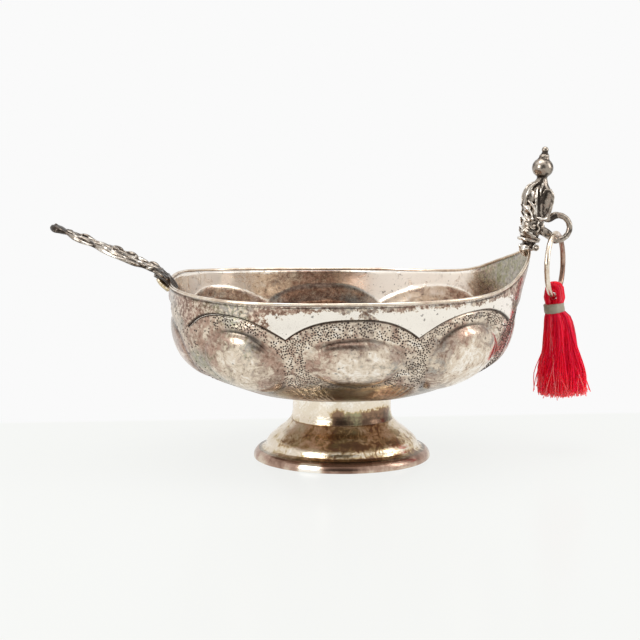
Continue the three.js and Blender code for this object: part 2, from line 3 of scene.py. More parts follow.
import bpy
import numpy as np
from bpy.props import FloatProperty, FloatVectorProperty, IntProperty, PointerProperty
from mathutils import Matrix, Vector


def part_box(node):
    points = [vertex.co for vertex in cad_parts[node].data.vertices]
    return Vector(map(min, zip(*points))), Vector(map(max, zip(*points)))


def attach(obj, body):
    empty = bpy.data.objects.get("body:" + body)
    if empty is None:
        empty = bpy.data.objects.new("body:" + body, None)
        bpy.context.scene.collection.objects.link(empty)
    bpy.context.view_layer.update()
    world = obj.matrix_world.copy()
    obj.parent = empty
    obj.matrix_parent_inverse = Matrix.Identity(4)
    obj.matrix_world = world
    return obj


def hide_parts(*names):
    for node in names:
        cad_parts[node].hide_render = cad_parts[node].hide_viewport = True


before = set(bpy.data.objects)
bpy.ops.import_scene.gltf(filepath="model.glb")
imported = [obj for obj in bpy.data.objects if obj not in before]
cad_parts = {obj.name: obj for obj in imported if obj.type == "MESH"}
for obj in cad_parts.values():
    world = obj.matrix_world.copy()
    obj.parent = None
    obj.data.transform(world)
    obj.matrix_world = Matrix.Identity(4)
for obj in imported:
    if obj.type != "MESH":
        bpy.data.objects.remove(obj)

bl_info = {
    "name": "Silver brandy bowl",
    "version": (1, 0, 0),
    "blender": (4, 5, 0),
    "location": "3D View > Sidebar > Brandy bowl",
    "description": "Builds a small footed silver brandy bowl with a cast figure, a ring and a red tassel",
    "category": "Object",
}

MM = 0.001
DEG = math.radians(1)

# The bowl's round foot stands off the middle of the whole object's box by this much along X
FOOT_LOW, FOOT_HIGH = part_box("foot_ring")
FOOT_X = (FOOT_LOW.x + FOOT_HIGH.x) / 2


# Settings

def size(name, millimetres, description):
    return FloatProperty(
        name=name, description=description, default=millimetres * MM, unit="LENGTH", precision=5
    )


def angle(name, degrees, description):
    return FloatProperty(name=name, description=description, default=degrees * DEG, subtype="ANGLE")


def share(name, value, description):
    return FloatProperty(name=name, description=description, default=value, subtype="FACTOR")


def linear(hex_colour):
    """Linear red, green, blue and alpha of an sRGB hex colour"""
    channels = [int(hex_colour[i:i + 2], 16) / 255 for i in (1, 3, 5)]
    return tuple(c / 12.92 if c <= 0.04045 else ((c + 0.055) / 1.055) ** 2.4 for c in channels) + (1.0,)


def colour(name, hex_colour, description):
    return FloatVectorProperty(
        name=name, description=description, default=linear(hex_colour), size=4, subtype="COLOR", min=0, max=1
    )


class BowlSettings(bpy.types.PropertyGroup):
    half_width: size("Half width", 54.2, "Half of the bowl's width across, at the rim")
    centre_x: size("Centre offset", -1.2, "Middle of the rim's outline, along the bowl from the foot")
    handle_length: size("Handle end", 56.7, "Length of the rim from its middle to the handle's end")
    handle_fullness: share("Handle fullness", 2.6, "Superellipse power at the handle's end")
    prow_length: size("Prow end", 60.0, "Length of the rim from its middle to the prow")
    prow_fullness: share("Prow fullness", 2.05, "Superellipse power at the prow's end")
    wall: size("Wall", 1.0, "Thickness of the sheet")
    rim_height: size("Rim height", 58.3, "Height of the rim along the sides")
    shoulder_height: size("Shoulder height", 50, "Where the upright band meets the round side")
    underside: size("Underside", 21.6, "Height of the bowl's flat underside")
    floor_radius: size("Floor radius", 18.2, "Radius of the flat underside")
    shoulder_pull: size("Shoulder pull", 12.8, "How far the side stays upright below the shoulder")
    floor_pull: size("Floor pull", 22.8, "How far the side stays flat beyond the floor")
    floor_rise: size("Floor rise", 2.8, "Height of the flat stretch's end above the underside")
    prow_rise: size("Prow rise", 12.3, "How much higher the rim is at the prow")
    prow_spread: angle("Prow spread", 21.4, "Half width of the rising part around the prow")
    prow_reach: size("Prow reach", 4.6, "How far the prow leans out")
    flare_from: size("Flare start", 46, "Height above which the prow leans out")
    far_rise: size("Far rise", 0.6, "How much higher the rim is on its far side")
    belly: size("Belly", 1.6, "How far the side bulges out towards the two ends")
    handle_rise: size("Handle rise", 1.9, "How much higher the rim is at the handle's end")
    handle_spread: angle("Handle spread", 42, "Half width of the rising part at the handle's end")
    valley_height: size("Valley height", 46.8, "Height where two arches meet")
    valley_rise: size("Valley rise", 2.0, "How much higher the arches meet near the two ends")
    arch_rise: size("Arch rise", 1.4, "How much higher the arches are near the two ends")
    arch_height: size("Arch height", 53.0, "Height of an arch's middle")
    arch_roundness: share("Arch roundness", 2.4, "Power of an arch's curve, 2 for a parabola")
    ground_depth: size("Ground depth", 0.8, "How deep the matted ground is sunk")
    groove_depth: size("Groove depth", 0.4, "Depth of the line chased along an arch")
    boss_height: size("Boss height", 37.9, "Height of a boss's middle")
    boss_half_height: size("Boss half height", 9.6, "Half height of a boss")
    boss_share: share("Boss share", 0.71, "Half width of a boss as a share of its lobe's")
    boss_fullness: share("Boss fullness", 2.1, "Superellipse power of a boss's outline")
    boss_shift: share("Boss shift", 0.05, "How far a boss sits towards the prow, as a share of half its lobe")
    boss_swell: size("Boss swell", 2.4, "How far a boss stands out of the ground")
    prow_swell: share("Prow swell", 0.35, "Swell of the boss under the prow as a share of the others'")
    handle_swell: share(
        "Handle swell", 0.6, "Swell of the boss at the handle's end as a share of the others'",
    )
    wire_radius: size("Wire radius", 0.65, "Radius of the wire along the rim")
    wire_overhang: size("Wire overhang", 0.25, "How far the wire stands out of the wall")
    wire_fold: share("Wire fold", 0.78, "How much thinner than its seat the wire was filed")
    unevenness: size("Unevenness", 0.14, "How far hammering left the sheet uneven")
    punch_spacing: size("Punch spacing", 0.66, "Least distance between two punched pits")
    punch_length: size("Punch length", 0.76, "Length of a punched pit")


class FootSettings(bpy.types.PropertyGroup):
    collar_radius: size("Collar radius", 16.6, "Outer radius of the straight collar")
    collar_wall: size("Collar wall", 1.1, "Thickness of the collar")
    collar_bottom: size("Collar bottom", 13.2, "Height where the collar meets the cone")
    cone_wall: size("Cone wall", 1.0, "Thickness of the cone")
    ring_radius: size("Base radius", 29.8, "Outer radius of the base ring")
    ring_height: size("Base height", 3.7, "Height of the base ring")
    ring_width: size("Base width", 4.6, "Width of the base ring's flat underside")
    seam_drop: size("Seam drop", 0.6, "How much lower the seam on the base ring is than its height")


class HandleSettings(bpy.types.PropertyGroup):
    length: size("Length", 41, "Length of the pierced handle from root to tip")
    half_width: size("Half width", 14.5, "Half of its greatest width")
    root_half_width: size("Root half width", 7.5, "Half of its width at the rim")
    tip_half_width: size("Tip half width", 4.6, "Half of its width near the tip")
    slope: angle("Slope", 23, "How steeply it rises from the rim")
    lift: size("Lift", 1.0, "Room between the rim wire and the plate at the root")
    plate: size("Plate", 1.8, "Thickness of the plate")
    rail: size("Rail radius", 0.8, "Radius of the cast rails and scrolls")


class FigureSettings(bpy.types.PropertyGroup):
    body_height: size("Body height", 22.7, "From the rim up to the neck")
    head_radius: size("Head radius", 3.6, "Radius of the ball head")
    head_x: size("Head offset", 4.6, "How far the head stands behind the rim")
    loop_wire: size("Loop wire", 1.0, "Radius of the loop's wire")
    loop_radius: size("Loop radius", 4.15, "Radius of the loop, to the wire's middle")
    loop_out: size("Loop offset", 10.0, "How far the loop's middle stands behind the rim")
    loop_up: size("Loop height", 6.2, "Height of the loop's middle above the rim")


class TasselSettings(bpy.types.PropertyGroup):
    ring_wire: size("Ring wire", 0.9, "Radius of the hanging ring's wire")
    ring_radius: size("Ring radius", 10.6, "Radius of the ring, to the wire's middle")
    ring_turn: angle("Ring turn", 27.5, "How far the ring is turned from straight across the bowl")
    neck_radius: size("Neck radius", 2.9, "Radius of the bundle inside the band")
    band_drop: size("Band drop", 2.4, "From the ring's lowest point down to the band")
    band_height: size("Band height", 3.2, "Height of the band")
    band_tilt: angle("Band tilt", 9, "How far the band leans")
    skirt_length: size("Skirt length", 29.4, "Length of the hanging threads")
    skirt_radius: size("Skirt radius", 7.7, "Radius of the skirt near its end")
    head_height: size("Head height", 4.0, "How far the threads rise above the ring's wire")
    head_half_width: size("Head half width", 3.5, "Half width of the bundle over the ring")
    lean: size("Lean", 2.8, "How far the threads lean along the bowl at their ends")
    threads: IntProperty(name="Threads", description="Number of hanging threads", default=2100, min=1)
    thread_radius: size("Thread radius", 0.17, "Radius of one thread")


class FinishSettings(bpy.types.PropertyGroup):
    bright: colour("Bright silver", "#fbf4ea", "Silver where it is rubbed bright")
    cream: colour("Dull silver", "#e3d3bf", "Silver that has gone a little dull")
    pink: colour("Pink tarnish", "#b89a89", "First pinkish-brown tarnish")
    brown: colour("Brown tarnish", "#86695a", "Older brown tarnish")
    dirt: colour("Dark tarnish", "#6a5446", "Dark brown specks in old tarnish")
    haze: colour("Grey haze", "#b0aaa1", "Grey bloom on silver")
    olive: colour("Olive tarnish", "#9c9a7c", "Greenish tarnish")
    gold: colour("Gold tarnish", "#cdae74", "First yellow tarnish")
    grey: colour("Grey silver", "#a3988c", "Cast silver gone grey")
    oxide: colour("Oxide", "#2c2420", "Black oxide in grooves and pits")
    red: colour("Thread", "#ff1233", "Red rayon thread")
    # Painted highlight and painted shade: a lighter and a darker copy of the thread colour, which threads get
    # at random and, the lighter one, towards their cut ends
    red_highlight_painted: colour("Light thread", "#ff6a70", "Thread where it catches the light")
    red_shade_painted: colour("Dark thread", "#c80624", "Thread that lies deeper")
    band: colour("Band", "#a09c8a", "Grey-olive tape round the tassel")
    floor: colour("Floor", "#ecedeb", "Pale table")


SETTINGS = {
    "bowl_form": BowlSettings,
    "foot_form": FootSettings,
    "handle_form": HandleSettings,
    "figure_form": FigureSettings,
    "tassel_form": TasselSettings,
    "bowl_finish": FinishSettings,
}


# Shapes

def smoothstep(x, low, high):
    part = np.clip((x - low) / (high - low), 0, 1)
    return part * part * (3 - 2 * part)


def bell(x, spread, power=2):
    return np.exp(-np.abs(x / spread) ** power)


def lerp(a, b, part):
    return a + (b - a) * part


def signed_power(x, power):
    return np.sign(x) * np.abs(x) ** power


def wrapped(t):
    return np.arctan2(np.sin(t), np.cos(t))


def smooth_curve(points, count):
    """Points at even steps of a Catmull-Rom curve through the given ones"""
    given = np.asarray(points, float)
    ends = np.vstack([2 * given[0] - given[1], given, 2 * given[-1] - given[-2]])
    places = np.linspace(0, len(given) - 1, count)
    step = np.minimum(places.astype(int), len(given) - 2)
    u = (places - step)[:, None]
    a, b, c, d = (ends[step + i] for i in range(4))
    slope, bend, twist = c - a, 2 * a - 5 * b + 4 * c - d, 3 * b - a - 3 * c + d
    return 0.5 * (2 * b + slope * u + bend * u ** 2 + twist * u ** 3)


def grid_places(columns, rows):
    """Column and row of every place of a grid, column by column"""
    return (places.ravel() for places in np.meshgrid(np.arange(columns), np.arange(rows), indexing="ij"))


def quads(columns, rows, start=0, flip=False):
    """Faces of a grid that closes on itself, whose vertices run down each column in turn"""
    c, r = grid_places(columns, rows - 1)
    here = start + c * rows + r
    beside = start + ((c + 1) % columns) * rows + r
    faces = np.stack([here, here + 1, beside + 1, beside], axis=1)
    return faces[:, ::-1] if flip else faces


def closed_body(sides, rows):
    """Faces of a body of columns of points, whose last two points close its start and its end"""
    faces = quads(sides, rows).tolist()
    start, end = sides * rows, sides * rows + 1
    for s in range(sides):
        after = (s + 1) % sides
        faces.append([s * rows, after * rows, start])
        faces.append([after * rows + rows - 1, s * rows + rows - 1, end])
    return faces


def mesh_object(name, vertices, faces, material):
    """A smooth-shaded object at the origin, with its place in its mesh"""
    mesh = bpy.data.meshes.new(name)
    mesh.from_pydata(np.asarray(vertices).tolist(), [], [list(map(int, face)) for face in faces])
    mesh.shade_smooth()
    if material:
        mesh.materials.append(material)
    piece = bpy.data.objects.new(name, mesh)
    bpy.context.scene.collection.objects.link(piece)
    return piece


def vertex_values(piece, name, values):
    attribute = piece.data.attributes.new(name, "FLOAT", "POINT")
    attribute.data.foreach_set("value", np.asarray(values, np.float32).ravel())


def tube(path, radii, sides, closed=False, flatten=1.0, flat_axis=(0, 0, 1)):
    """Vertices and faces of a tube along a path, as thick at each point as given; a flattened tube is
    thinner along flat_axis"""
    path = np.asarray(path, float)
    radii = np.broadcast_to(radii, len(path))
    if closed:
        tangent = np.roll(path, -1, 0) - np.roll(path, 1, 0)
    else:
        tangent = np.gradient(path, axis=0)
    tangent /= np.linalg.norm(tangent, axis=1)[:, None]
    reference = np.broadcast_to(np.asarray(flat_axis, float), path.shape)
    side = np.cross(tangent, reference)
    side /= np.maximum(np.linalg.norm(side, axis=1), 1e-9)[:, None]
    up = np.cross(side, tangent)
    turn = np.arange(sides) / sides * 2 * np.pi
    ring = side[:, None] * np.cos(turn)[None, :, None] + flatten * up[:, None] * np.sin(turn)[None, :, None]
    vertices = (path[:, None] + radii[:, None, None] * ring).reshape(-1, 3)
    count = len(path)
    i, s = grid_places(count if closed else count - 1, sides)
    after = (i + 1) % count
    beside = (s + 1) % sides
    faces = [after * sides + s, after * sides + beside, i * sides + beside, i * sides + s]
    faces = np.stack(faces, axis=1).tolist()
    if not closed:
        faces += [list(range(sides)), list(range(count * sides - 1, (count - 1) * sides - 1, -1))]
    return vertices, faces


def turned(profile, segments):
    """Vertices and faces of a ring turned about Z from a closed outline of radius and height"""
    outline = np.asarray(profile, float)
    turn = np.arange(segments) / segments * 2 * np.pi
    r, z = outline[:, 0], outline[:, 1]
    vertices = np.stack([np.outer(np.cos(turn), r), np.outer(np.sin(turn), r), np.tile(z, (segments, 1))], -1)
    rows = len(outline)
    c, k = grid_places(segments, rows)
    column, beside, below = c * rows, (c + 1) % segments * rows, (k + 1) % rows
    faces = np.stack([column + k, beside + k, beside + below, column + below], axis=1)
    return vertices.reshape(-1, 3), faces


def joined(parts):
    """One list of vertices and faces from several"""
    vertices, faces, count = [], [], 0
    for points, corners in parts:
        vertices.append(np.asarray(points, float))
        faces += [[int(i) + count for i in face] for face in corners]
        count += len(points)
    return np.vstack(vertices), faces


def cast_in_one(piece, voxel, rounds, darker):
    """Fuses overlapping forms into one cast body, softens it and marks its hollows, more if darker"""
    remesh = piece.modifiers.new("cast", "REMESH")
    remesh.mode = "VOXEL"
    remesh.voxel_size = voxel
    soften = piece.modifiers.new("soften", "SMOOTH")
    soften.factor = 0.5
    soften.iterations = rounds
    apply_modifiers(piece)
    piece.data.shade_smooth()
    mark_hollows(piece, darker)


def apply_modifiers(piece):
    evaluated = piece.evaluated_get(bpy.context.evaluated_depsgraph_get())
    finished = bpy.data.meshes.new_from_object(evaluated)
    piece.modifiers.clear()
    plain = piece.data
    piece.data = finished
    bpy.data.meshes.remove(plain)


def mark_hollows(piece, darker, rounds=16, reach=0.22 * MM):
    """Writes 1 in the hollows and 0 on the high points of a mesh, from how it moves when smoothed"""
    mesh = piece.data
    count = len(mesh.vertices)
    places = np.zeros(count * 3)
    normals = np.zeros(count * 3)
    edges = np.zeros(len(mesh.edges) * 2, int)
    mesh.vertices.foreach_get("co", places)
    mesh.vertex_normals.foreach_get("vector", normals)
    mesh.edges.foreach_get("vertices", edges)
    places, normals, edges = places.reshape(-1, 3), normals.reshape(-1, 3), edges.reshape(-1, 2)
    degree = np.maximum(np.bincount(edges.ravel(), minlength=count), 1)[:, None]
    moved = places.copy()
    for _ in range(rounds):
        total = np.zeros_like(moved)
        np.add.at(total, edges[:, 0], moved[edges[:, 1]])
        np.add.at(total, edges[:, 1], moved[edges[:, 0]])
        moved = total / degree
    inward = ((moved - places) * normals).sum(1)
    vertex_values(piece, "hollow", np.clip(0.5 + darker + 0.5 * inward / reach, 0, 1))


def darken(piece, more):
    """Makes points of a cast piece count as deeper in a hollow"""
    hollow = piece.data.attributes["hollow"].data
    values = np.zeros(len(hollow), np.float32)
    hollow.foreach_get("value", values)
    hollow.foreach_set("value", np.clip(values + more, 0, 1).astype(np.float32))


# Materials

def add(tree, kind, links=(), **settings):
    """Adds a node with its settings. Its inputs get values, sockets or nodes, by name or in their order,
    and a node stands for its first output in use"""
    node = tree.nodes.new(kind)
    for name, value in settings.items():
        setattr(node, name, value)
    by_name = isinstance(links, dict)
    inputs = node.inputs if by_name else [entry for entry in node.inputs if entry.enabled]
    for entry, value in links.items() if by_name else enumerate(links):
        if isinstance(value, bpy.types.Node):
            value = next(output for output in value.outputs if output.enabled)
        if isinstance(value, bpy.types.NodeSocket):
            tree.links.new(value, inputs[entry])
        else:
            inputs[entry].default_value = value
    return node


def varied(tree, value, *clouds):
    """A value with clouds of noise added about their middle, each as strongly as given"""
    for cloud, strength in clouds:
        swing = add(tree, "ShaderNodeMath", (cloud, 0.5), operation="SUBTRACT")
        value = add(tree, "ShaderNodeMath", (swing, strength, value), operation="MULTIPLY_ADD")
    return value


def layered(tree, colour, *layers):
    """Lays colours over a first one. Each layer has the value it follows, from where to where that value
    brings it in, how much it then covers, and its colour"""
    for value, low, high, cover, over in layers:
        part = add(tree, "ShaderNodeMapRange", (value, low, high, 0, cover), interpolation_type="SMOOTHSTEP")
        colour = add(tree, "ShaderNodeMix", (part, colour, over), data_type="RGBA")
    return colour


def new_material(name):
    """A material with an empty tree, the tree and the place on the piece"""
    material = bpy.data.materials.new(name)
    material.use_nodes = True
    tree = material.node_tree
    tree.nodes.clear()
    return material, tree, add(tree, "ShaderNodeTexCoord").outputs["Object"]


def raised_silver(finish):
    """Silver sheet raised over a stake: soft hammer planes, pink, brown and olive tarnish in clouds that
    end crisply where the plain band was rubbed, fine sandy pitting, black oxide in chased lines; the oxide
    and the tarnish also carry painted shade over and under the bosses and towards the underside, and a
    painted dark reflection inside the lobes"""
    material, tree, place = new_material("raised silver, tarnished")
    worn, plain, greenish, ground, oxide, milky = (
        add(tree, "ShaderNodeAttribute", attribute_name=name).outputs["Fac"]
        for name in ("rubbed", "plain", "greenish", "ground", "oxide", "milky")
    )
    broad, patches, mottling, sand, spots = (
        add(tree, "ShaderNodeTexNoise", {
            "Vector": place, "Scale": 1 / width, "Detail": detail, "Roughness": roughness, "Distortion": bent,
        })
        for width, detail, roughness, bent in [
            (20 * MM, 3, 0.55, 0.4), (6 * MM, 8, 0.72, 0.9), (2.6 * MM, 5, 0.68, 0.8), (1.1 * MM, 3, 0.7, 0),
            (1.3 * MM, 2, 0.5, 0),
        ]
    )
    # The plain band keeps a coarse sandy grain, the bosses a faint one
    specked, paled, sandy = (
        add(tree, "ShaderNodeMapRange", (plain, 0, 1, 0.3 * most, most), interpolation_type="SMOOTHSTEP")
        for most in (1.0, 0.9, 0.7)
    )
    wear = varied(tree, worn, (patches, 1.7), (mottling, 0.9), (sand, sandy))
    gentle, crisp = (
        add(tree, "ShaderNodeMapRange", (wear, low, high), interpolation_type="SMOOTHSTEP")
        for low, high in [(0.05, 0.9), (0.4, 0.56)]
    )
    rubbed = add(tree, "ShaderNodeMix", (plain, gentle, crisp))
    old = layered(tree, finish.brown, (varied(tree, greenish, (broad, 2.4)), 0.2, 0.7, 1, finish.olive))
    young = layered(tree, finish.pink, (broad, 0.42, 0.6, 1, finish.haze))
    pitted = add(tree, "ShaderNodeMapRange", (rubbed, 1, 0.2, 0.1, 0.6), interpolation_type="SMOOTHSTEP")
    metal = layered(
        tree, young, (mottling, 0.4, 0.62, 1, old), (sand, 0.44, 0.36, specked, finish.dirt),
        (sand, 0.51, 0.58, paled, finish.cream), (rubbed, 0, 0.55, 1, finish.cream),
        (rubbed, 0.45, 1, 1, finish.bright), (sand, 0.42, 0.34, pitted, finish.brown),
        (spots, 0.66, 0.72, 0.6, finish.oxide),
    )
    metal = add(tree, "ShaderNodeMix", (oxide, metal, finish.oxide), data_type="RGBA")
    dull = add(tree, "ShaderNodeMapRange", (rubbed, 0, 1, 0.26, 0.14), interpolation_type="SMOOTHSTEP")
    dull = add(tree, "ShaderNodeMath", (ground, 0.12, dull), operation="MULTIPLY_ADD")
    hammer = add(
        tree, "ShaderNodeTexVoronoi", {"Vector": place, "Scale": 1 / (3.6 * MM)}, feature="SMOOTH_F1",
    )
    punched = add(tree, "ShaderNodeTexVoronoi", {"Vector": place, "Scale": 1 / (0.85 * MM)})
    stipple = add(tree, "ShaderNodeMath", (punched, ground), operation="MULTIPLY")
    relief = 0
    for height, portion in [(hammer, 0.6), (sand, 0.3), (stipple, 0.9)]:
        relief = add(tree, "ShaderNodeMath", (height, portion, relief), operation="MULTIPLY_ADD")
    bump = add(tree, "ShaderNodeBump", {"Height": relief, "Distance": 0.16 * MM, "Strength": 0.7})
    # A milky film of old polish hides the metal in clouds on the inside
    cloudy = add(tree, "ShaderNodeMapRange", (patches, 0.3, 0.5, 0.3, 1), interpolation_type="SMOOTHSTEP")
    film = add(tree, "ShaderNodeMath", (milky, cloudy), operation="MULTIPLY")
    bare = add(tree, "ShaderNodeMapRange", (film, 0, 0.9, 1, 0), interpolation_type="SMOOTHSTEP")
    shader = add(tree, "ShaderNodeBsdfPrincipled", {
        "Base Color": metal, "Metallic": bare, "Roughness": dull, "Normal": bump,
    })
    add(tree, "ShaderNodeOutputMaterial", (shader,))
    return material


def rubbed_silver(finish):
    """Drawn silver wire and strip, handled smooth: pale with a thin pink and brown film in patches"""
    material, tree, place = new_material("silver wire, handled smooth")
    age = add(tree, "ShaderNodeAttribute", attribute_name="age").outputs["Fac"]
    spots = add(tree, "ShaderNodeTexNoise", {
        "Vector": place, "Scale": 1 / (6 * MM), "Detail": 5, "Roughness": 0.65,
    })
    grain = add(tree, "ShaderNodeTexNoise", {
        "Vector": place, "Scale": 1 / (0.8 * MM), "Detail": 3, "Roughness": 0.6,
    })
    film = varied(tree, age, (spots, 1.2))
    metal = layered(
        tree, finish.bright, (film, 0.1, 0.5, 1, finish.cream), (film, 0.4, 0.75, 1, finish.pink),
        (film, 0.65, 1, 1, finish.brown),
    )
    bump = add(tree, "ShaderNodeBump", {"Height": grain, "Distance": 0.05 * MM, "Strength": 0.5})
    shader = add(tree, "ShaderNodeBsdfPrincipled", {
        "Base Color": metal, "Metallic": 1, "Roughness": 0.2, "Normal": bump,
    })
    add(tree, "ShaderNodeOutputMaterial", (shader,))
    return material


def yellowed_silver(finish):
    """The foot's sheet silver: pale gold where the tarnish is young, brown and olive where it is old,
    and brightest where its age mark is lowest, which is also where its painted highlights and reflections lie"""
    material, tree, place = new_material("sheet silver, yellowed")
    age, oxide = (
        add(tree, "ShaderNodeAttribute", attribute_name=name).outputs["Fac"] for name in ("age", "oxide")
    )
    broad, patches, grain = (
        add(tree, "ShaderNodeTexNoise", {
            "Vector": place, "Scale": 1 / width, "Detail": detail, "Roughness": roughness, "Distortion": bent,
        })
        for width, detail, roughness,
        bent in [(11 * MM, 4, 0.6, 0.6), (3.2 * MM, 8, 0.75, 1.2), (0.7 * MM, 4, 0.8, 0)]
    )
    age = varied(tree, age, (broad, 0.9), (patches, 1.5), (grain, 0.5))
    yellow = [lerp(bright, gold, 0.34) for bright, gold in zip(finish.bright, finish.gold)]
    old = layered(tree, finish.olive, (broad, 0.4, 0.56, 1, finish.brown))
    metal = layered(
        tree, finish.bright, (age, -0.15, 0.2, 1, yellow), (age, 0.3, 0.6, 1, finish.gold),
        (age, 0.42, 0.66, 0.9, old), (age, 0.8, 1.15, 0.6, finish.oxide),
        (grain, 0.6, 0.72, 0.4, finish.brown),
    )
    metal = add(tree, "ShaderNodeMix", (oxide, metal, finish.oxide), data_type="RGBA")
    dull = add(tree, "ShaderNodeMapRange", (age, 0, 0.8, 0.1, 0.2), interpolation_type="SMOOTHSTEP")
    relief = add(tree, "ShaderNodeMath", (patches, 1.5, grain), operation="MULTIPLY_ADD")
    bump = add(tree, "ShaderNodeBump", {"Height": relief, "Distance": 0.1 * MM, "Strength": 0.4})
    shader = add(tree, "ShaderNodeBsdfPrincipled", {
        "Base Color": metal, "Metallic": 1, "Roughness": dull, "Normal": bump,
    })
    add(tree, "ShaderNodeOutputMaterial", (shader,))
    return material


def cast_silver(finish):
    """Sand-cast silver: black oxide in the hollows, brown flanks and high points rubbed bright; the hollow
    mark also carries the painted shade that some pieces add to it
    """
    material, tree, place = new_material("cast silver, oxidised")
    hollow = add(tree, "ShaderNodeAttribute", attribute_name="hollow").outputs["Fac"]
    patches, broad, grain = (
        add(tree, "ShaderNodeTexNoise", {
            "Vector": place, "Scale": 1 / width, "Detail": detail, "Roughness": roughness, "Distortion": bent,
        })
        for width, detail, roughness,
        bent in [(2.2 * MM, 6, 0.7, 0.5), (4.5 * MM, 2, 0.5, 0), (0.5 * MM, 3, 0.6, 0)]
    )
    hollow = varied(tree, hollow, (patches, 1.3), (broad, 1.0))
    flank = layered(tree, finish.brown, (patches, 0.3, 0.46, 1, finish.grey))
    metal = layered(
        tree, finish.bright, (hollow, 0.14, 0.36, 1, flank), (hollow, 0.48, 0.64, 0.9, finish.oxide),
    )
    dull = add(tree, "ShaderNodeMapRange", (hollow, 0.3, 0.7, 0.14, 0.3), interpolation_type="SMOOTHSTEP")
    bump = add(tree, "ShaderNodeBump", {"Height": grain, "Distance": 0.08 * MM, "Strength": 0.5})
    shader = add(tree, "ShaderNodeBsdfPrincipled", {
        "Base Color": metal, "Metallic": 1, "Roughness": dull, "Normal": bump,
    })
    add(tree, "ShaderNodeOutputMaterial", (shader,))
    return material


def black_oxide(finish):
    """The black oxide that stays in punched pits, dull and slightly brown"""
    material, tree, place = new_material("black oxide")
    grain = add(tree, "ShaderNodeTexNoise", {
        "Vector": place, "Scale": 1 / (0.6 * MM), "Detail": 2, "Roughness": 0.5,
    })
    film = layered(tree, finish.oxide, (grain, 0.4, 0.7, 0.4, finish.brown))
    shader = add(tree, "ShaderNodeBsdfPrincipled", {"Base Color": film, "Metallic": 0.4, "Roughness": 0.55})
    add(tree, "ShaderNodeOutputMaterial", (shader,))
    return material


def rayon_thread(finish):
    """Glossy red rayon: each thread takes the dye a little differently and gets its own painted highlight or
    shade, and the threads are painted paler towards their cut ends, where light comes through them"""
    material, tree, place = new_material("red rayon thread")
    shade = add(tree, "ShaderNodeAttribute", attribute_name="shade").outputs["Fac"]
    height = add(tree, "ShaderNodeSeparateXYZ", (place,)).outputs["Z"]
    # Painted light: the threads are drawn paler towards their lower ends
    ends = add(
        tree, "ShaderNodeMapRange", (height, 32 * MM, 18 * MM, 0, 0.3), interpolation_type="SMOOTHSTEP",
    )
    shade = add(tree, "ShaderNodeMath", (shade, ends), operation="ADD")
    dye = layered(
        tree, finish.red_shade_painted, (shade, 0, 0.55, 1, finish.red), (shade, 0.62, 1, 1, finish.red_highlight_painted),
    )
    # Painted glow: a faint red emission makes the threads brighter, though they are no lamp
    shader = add(tree, "ShaderNodeBsdfPrincipled", {
        "Base Color": dye, "Roughness": 0.4, "Specular IOR Level": 0.1, "Subsurface Weight": 0.6,
        "Subsurface Radius": (1.0, 0.15, 0.12), "Subsurface Scale": 1.4 * MM, "Emission Color": finish.red,
        "Emission Strength": 0.05,
    })
    add(tree, "ShaderNodeOutputMaterial", (shader,))
    return material


def woven_tape(finish):
    """Grey-olive cotton tape: a fine plain weave about 0.35 mm from thread to thread"""
    material, tree, place = new_material("cotton tape")
    weave = add(tree, "ShaderNodeTexWave", {
        "Vector": place, "Scale": 0.32 / (0.35 * MM), "Distortion": 1.2,
    }, bands_direction="Z").outputs["Fac"]
    dirt = add(tree, "ShaderNodeTexNoise", {
        "Vector": place, "Scale": 1 / (1.4 * MM), "Detail": 3, "Roughness": 0.6,
    })
    cloth = layered(tree, finish.band, (dirt, 0.3, 0.7, 0.3, finish.brown))
    bump = add(tree, "ShaderNodeBump", {"Height": weave, "Distance": 0.06 * MM, "Strength": 0.5})
    shader = add(tree, "ShaderNodeBsdfPrincipled", {"Base Color": cloth, "Roughness": 0.6, "Normal": bump})
    add(tree, "ShaderNodeOutputMaterial", (shader,))
    return material


MAKERS = {
    "raised": raised_silver,
    "rubbed": rubbed_silver,
    "yellowed": yellowed_silver,
    "cast": cast_silver,
    "oxide": black_oxide,
    "thread": rayon_thread,
    "tape": woven_tape,
}
made_materials = {}


def finish_of(context, kind):
    if kind not in made_materials:
        made_materials[kind] = MAKERS[kind](context.scene.bowl_finish)
    return made_materials[kind]


# Bowl form: every function works on whole arrays of angles around the bowl, 0 at the prow

VALLEYS = [28 * DEG, 71 * DEG, 106.3 * DEG, 150.5 * DEG]
LOBE_EDGES = VALLEYS + [2 * math.pi - a for a in reversed(VALLEYS)] + [VALLEYS[0] + 2 * math.pi]
# How far each valley leans below the arches
VALLEY_LEAN = [0, -0.5 * DEG, -1.9 * DEG, 0]
LOBE_LEAN = VALLEY_LEAN + [-a for a in reversed(VALLEY_LEAN)] + [VALLEY_LEAN[0]]


def rim_top(b, t):
    from_prow = wrapped(t)
    from_handle = math.pi - np.abs(from_prow)
    rise = b.prow_rise * bell(from_prow, b.prow_spread, 1.5)
    rise = rise + b.far_rise * smoothstep(np.sin(t), 0.05, 0.5) * (1 - 1.4 * np.minimum(np.cos(t), 0))
    rise = rise + 2 * b.far_rise * bell(from_prow - 19 * DEG, 11 * DEG)
    return b.rim_height + rise + b.handle_rise * bell(from_handle, b.handle_spread)


def wall_top(b, t):
    return rim_top(b, t) - 2 * b.wire_radius


def prow_push(b, t, z):
    high = b.rim_height + b.prow_rise
    return b.prow_reach * smoothstep(z, b.flare_from, high) * bell(wrapped(t), b.prow_spread)


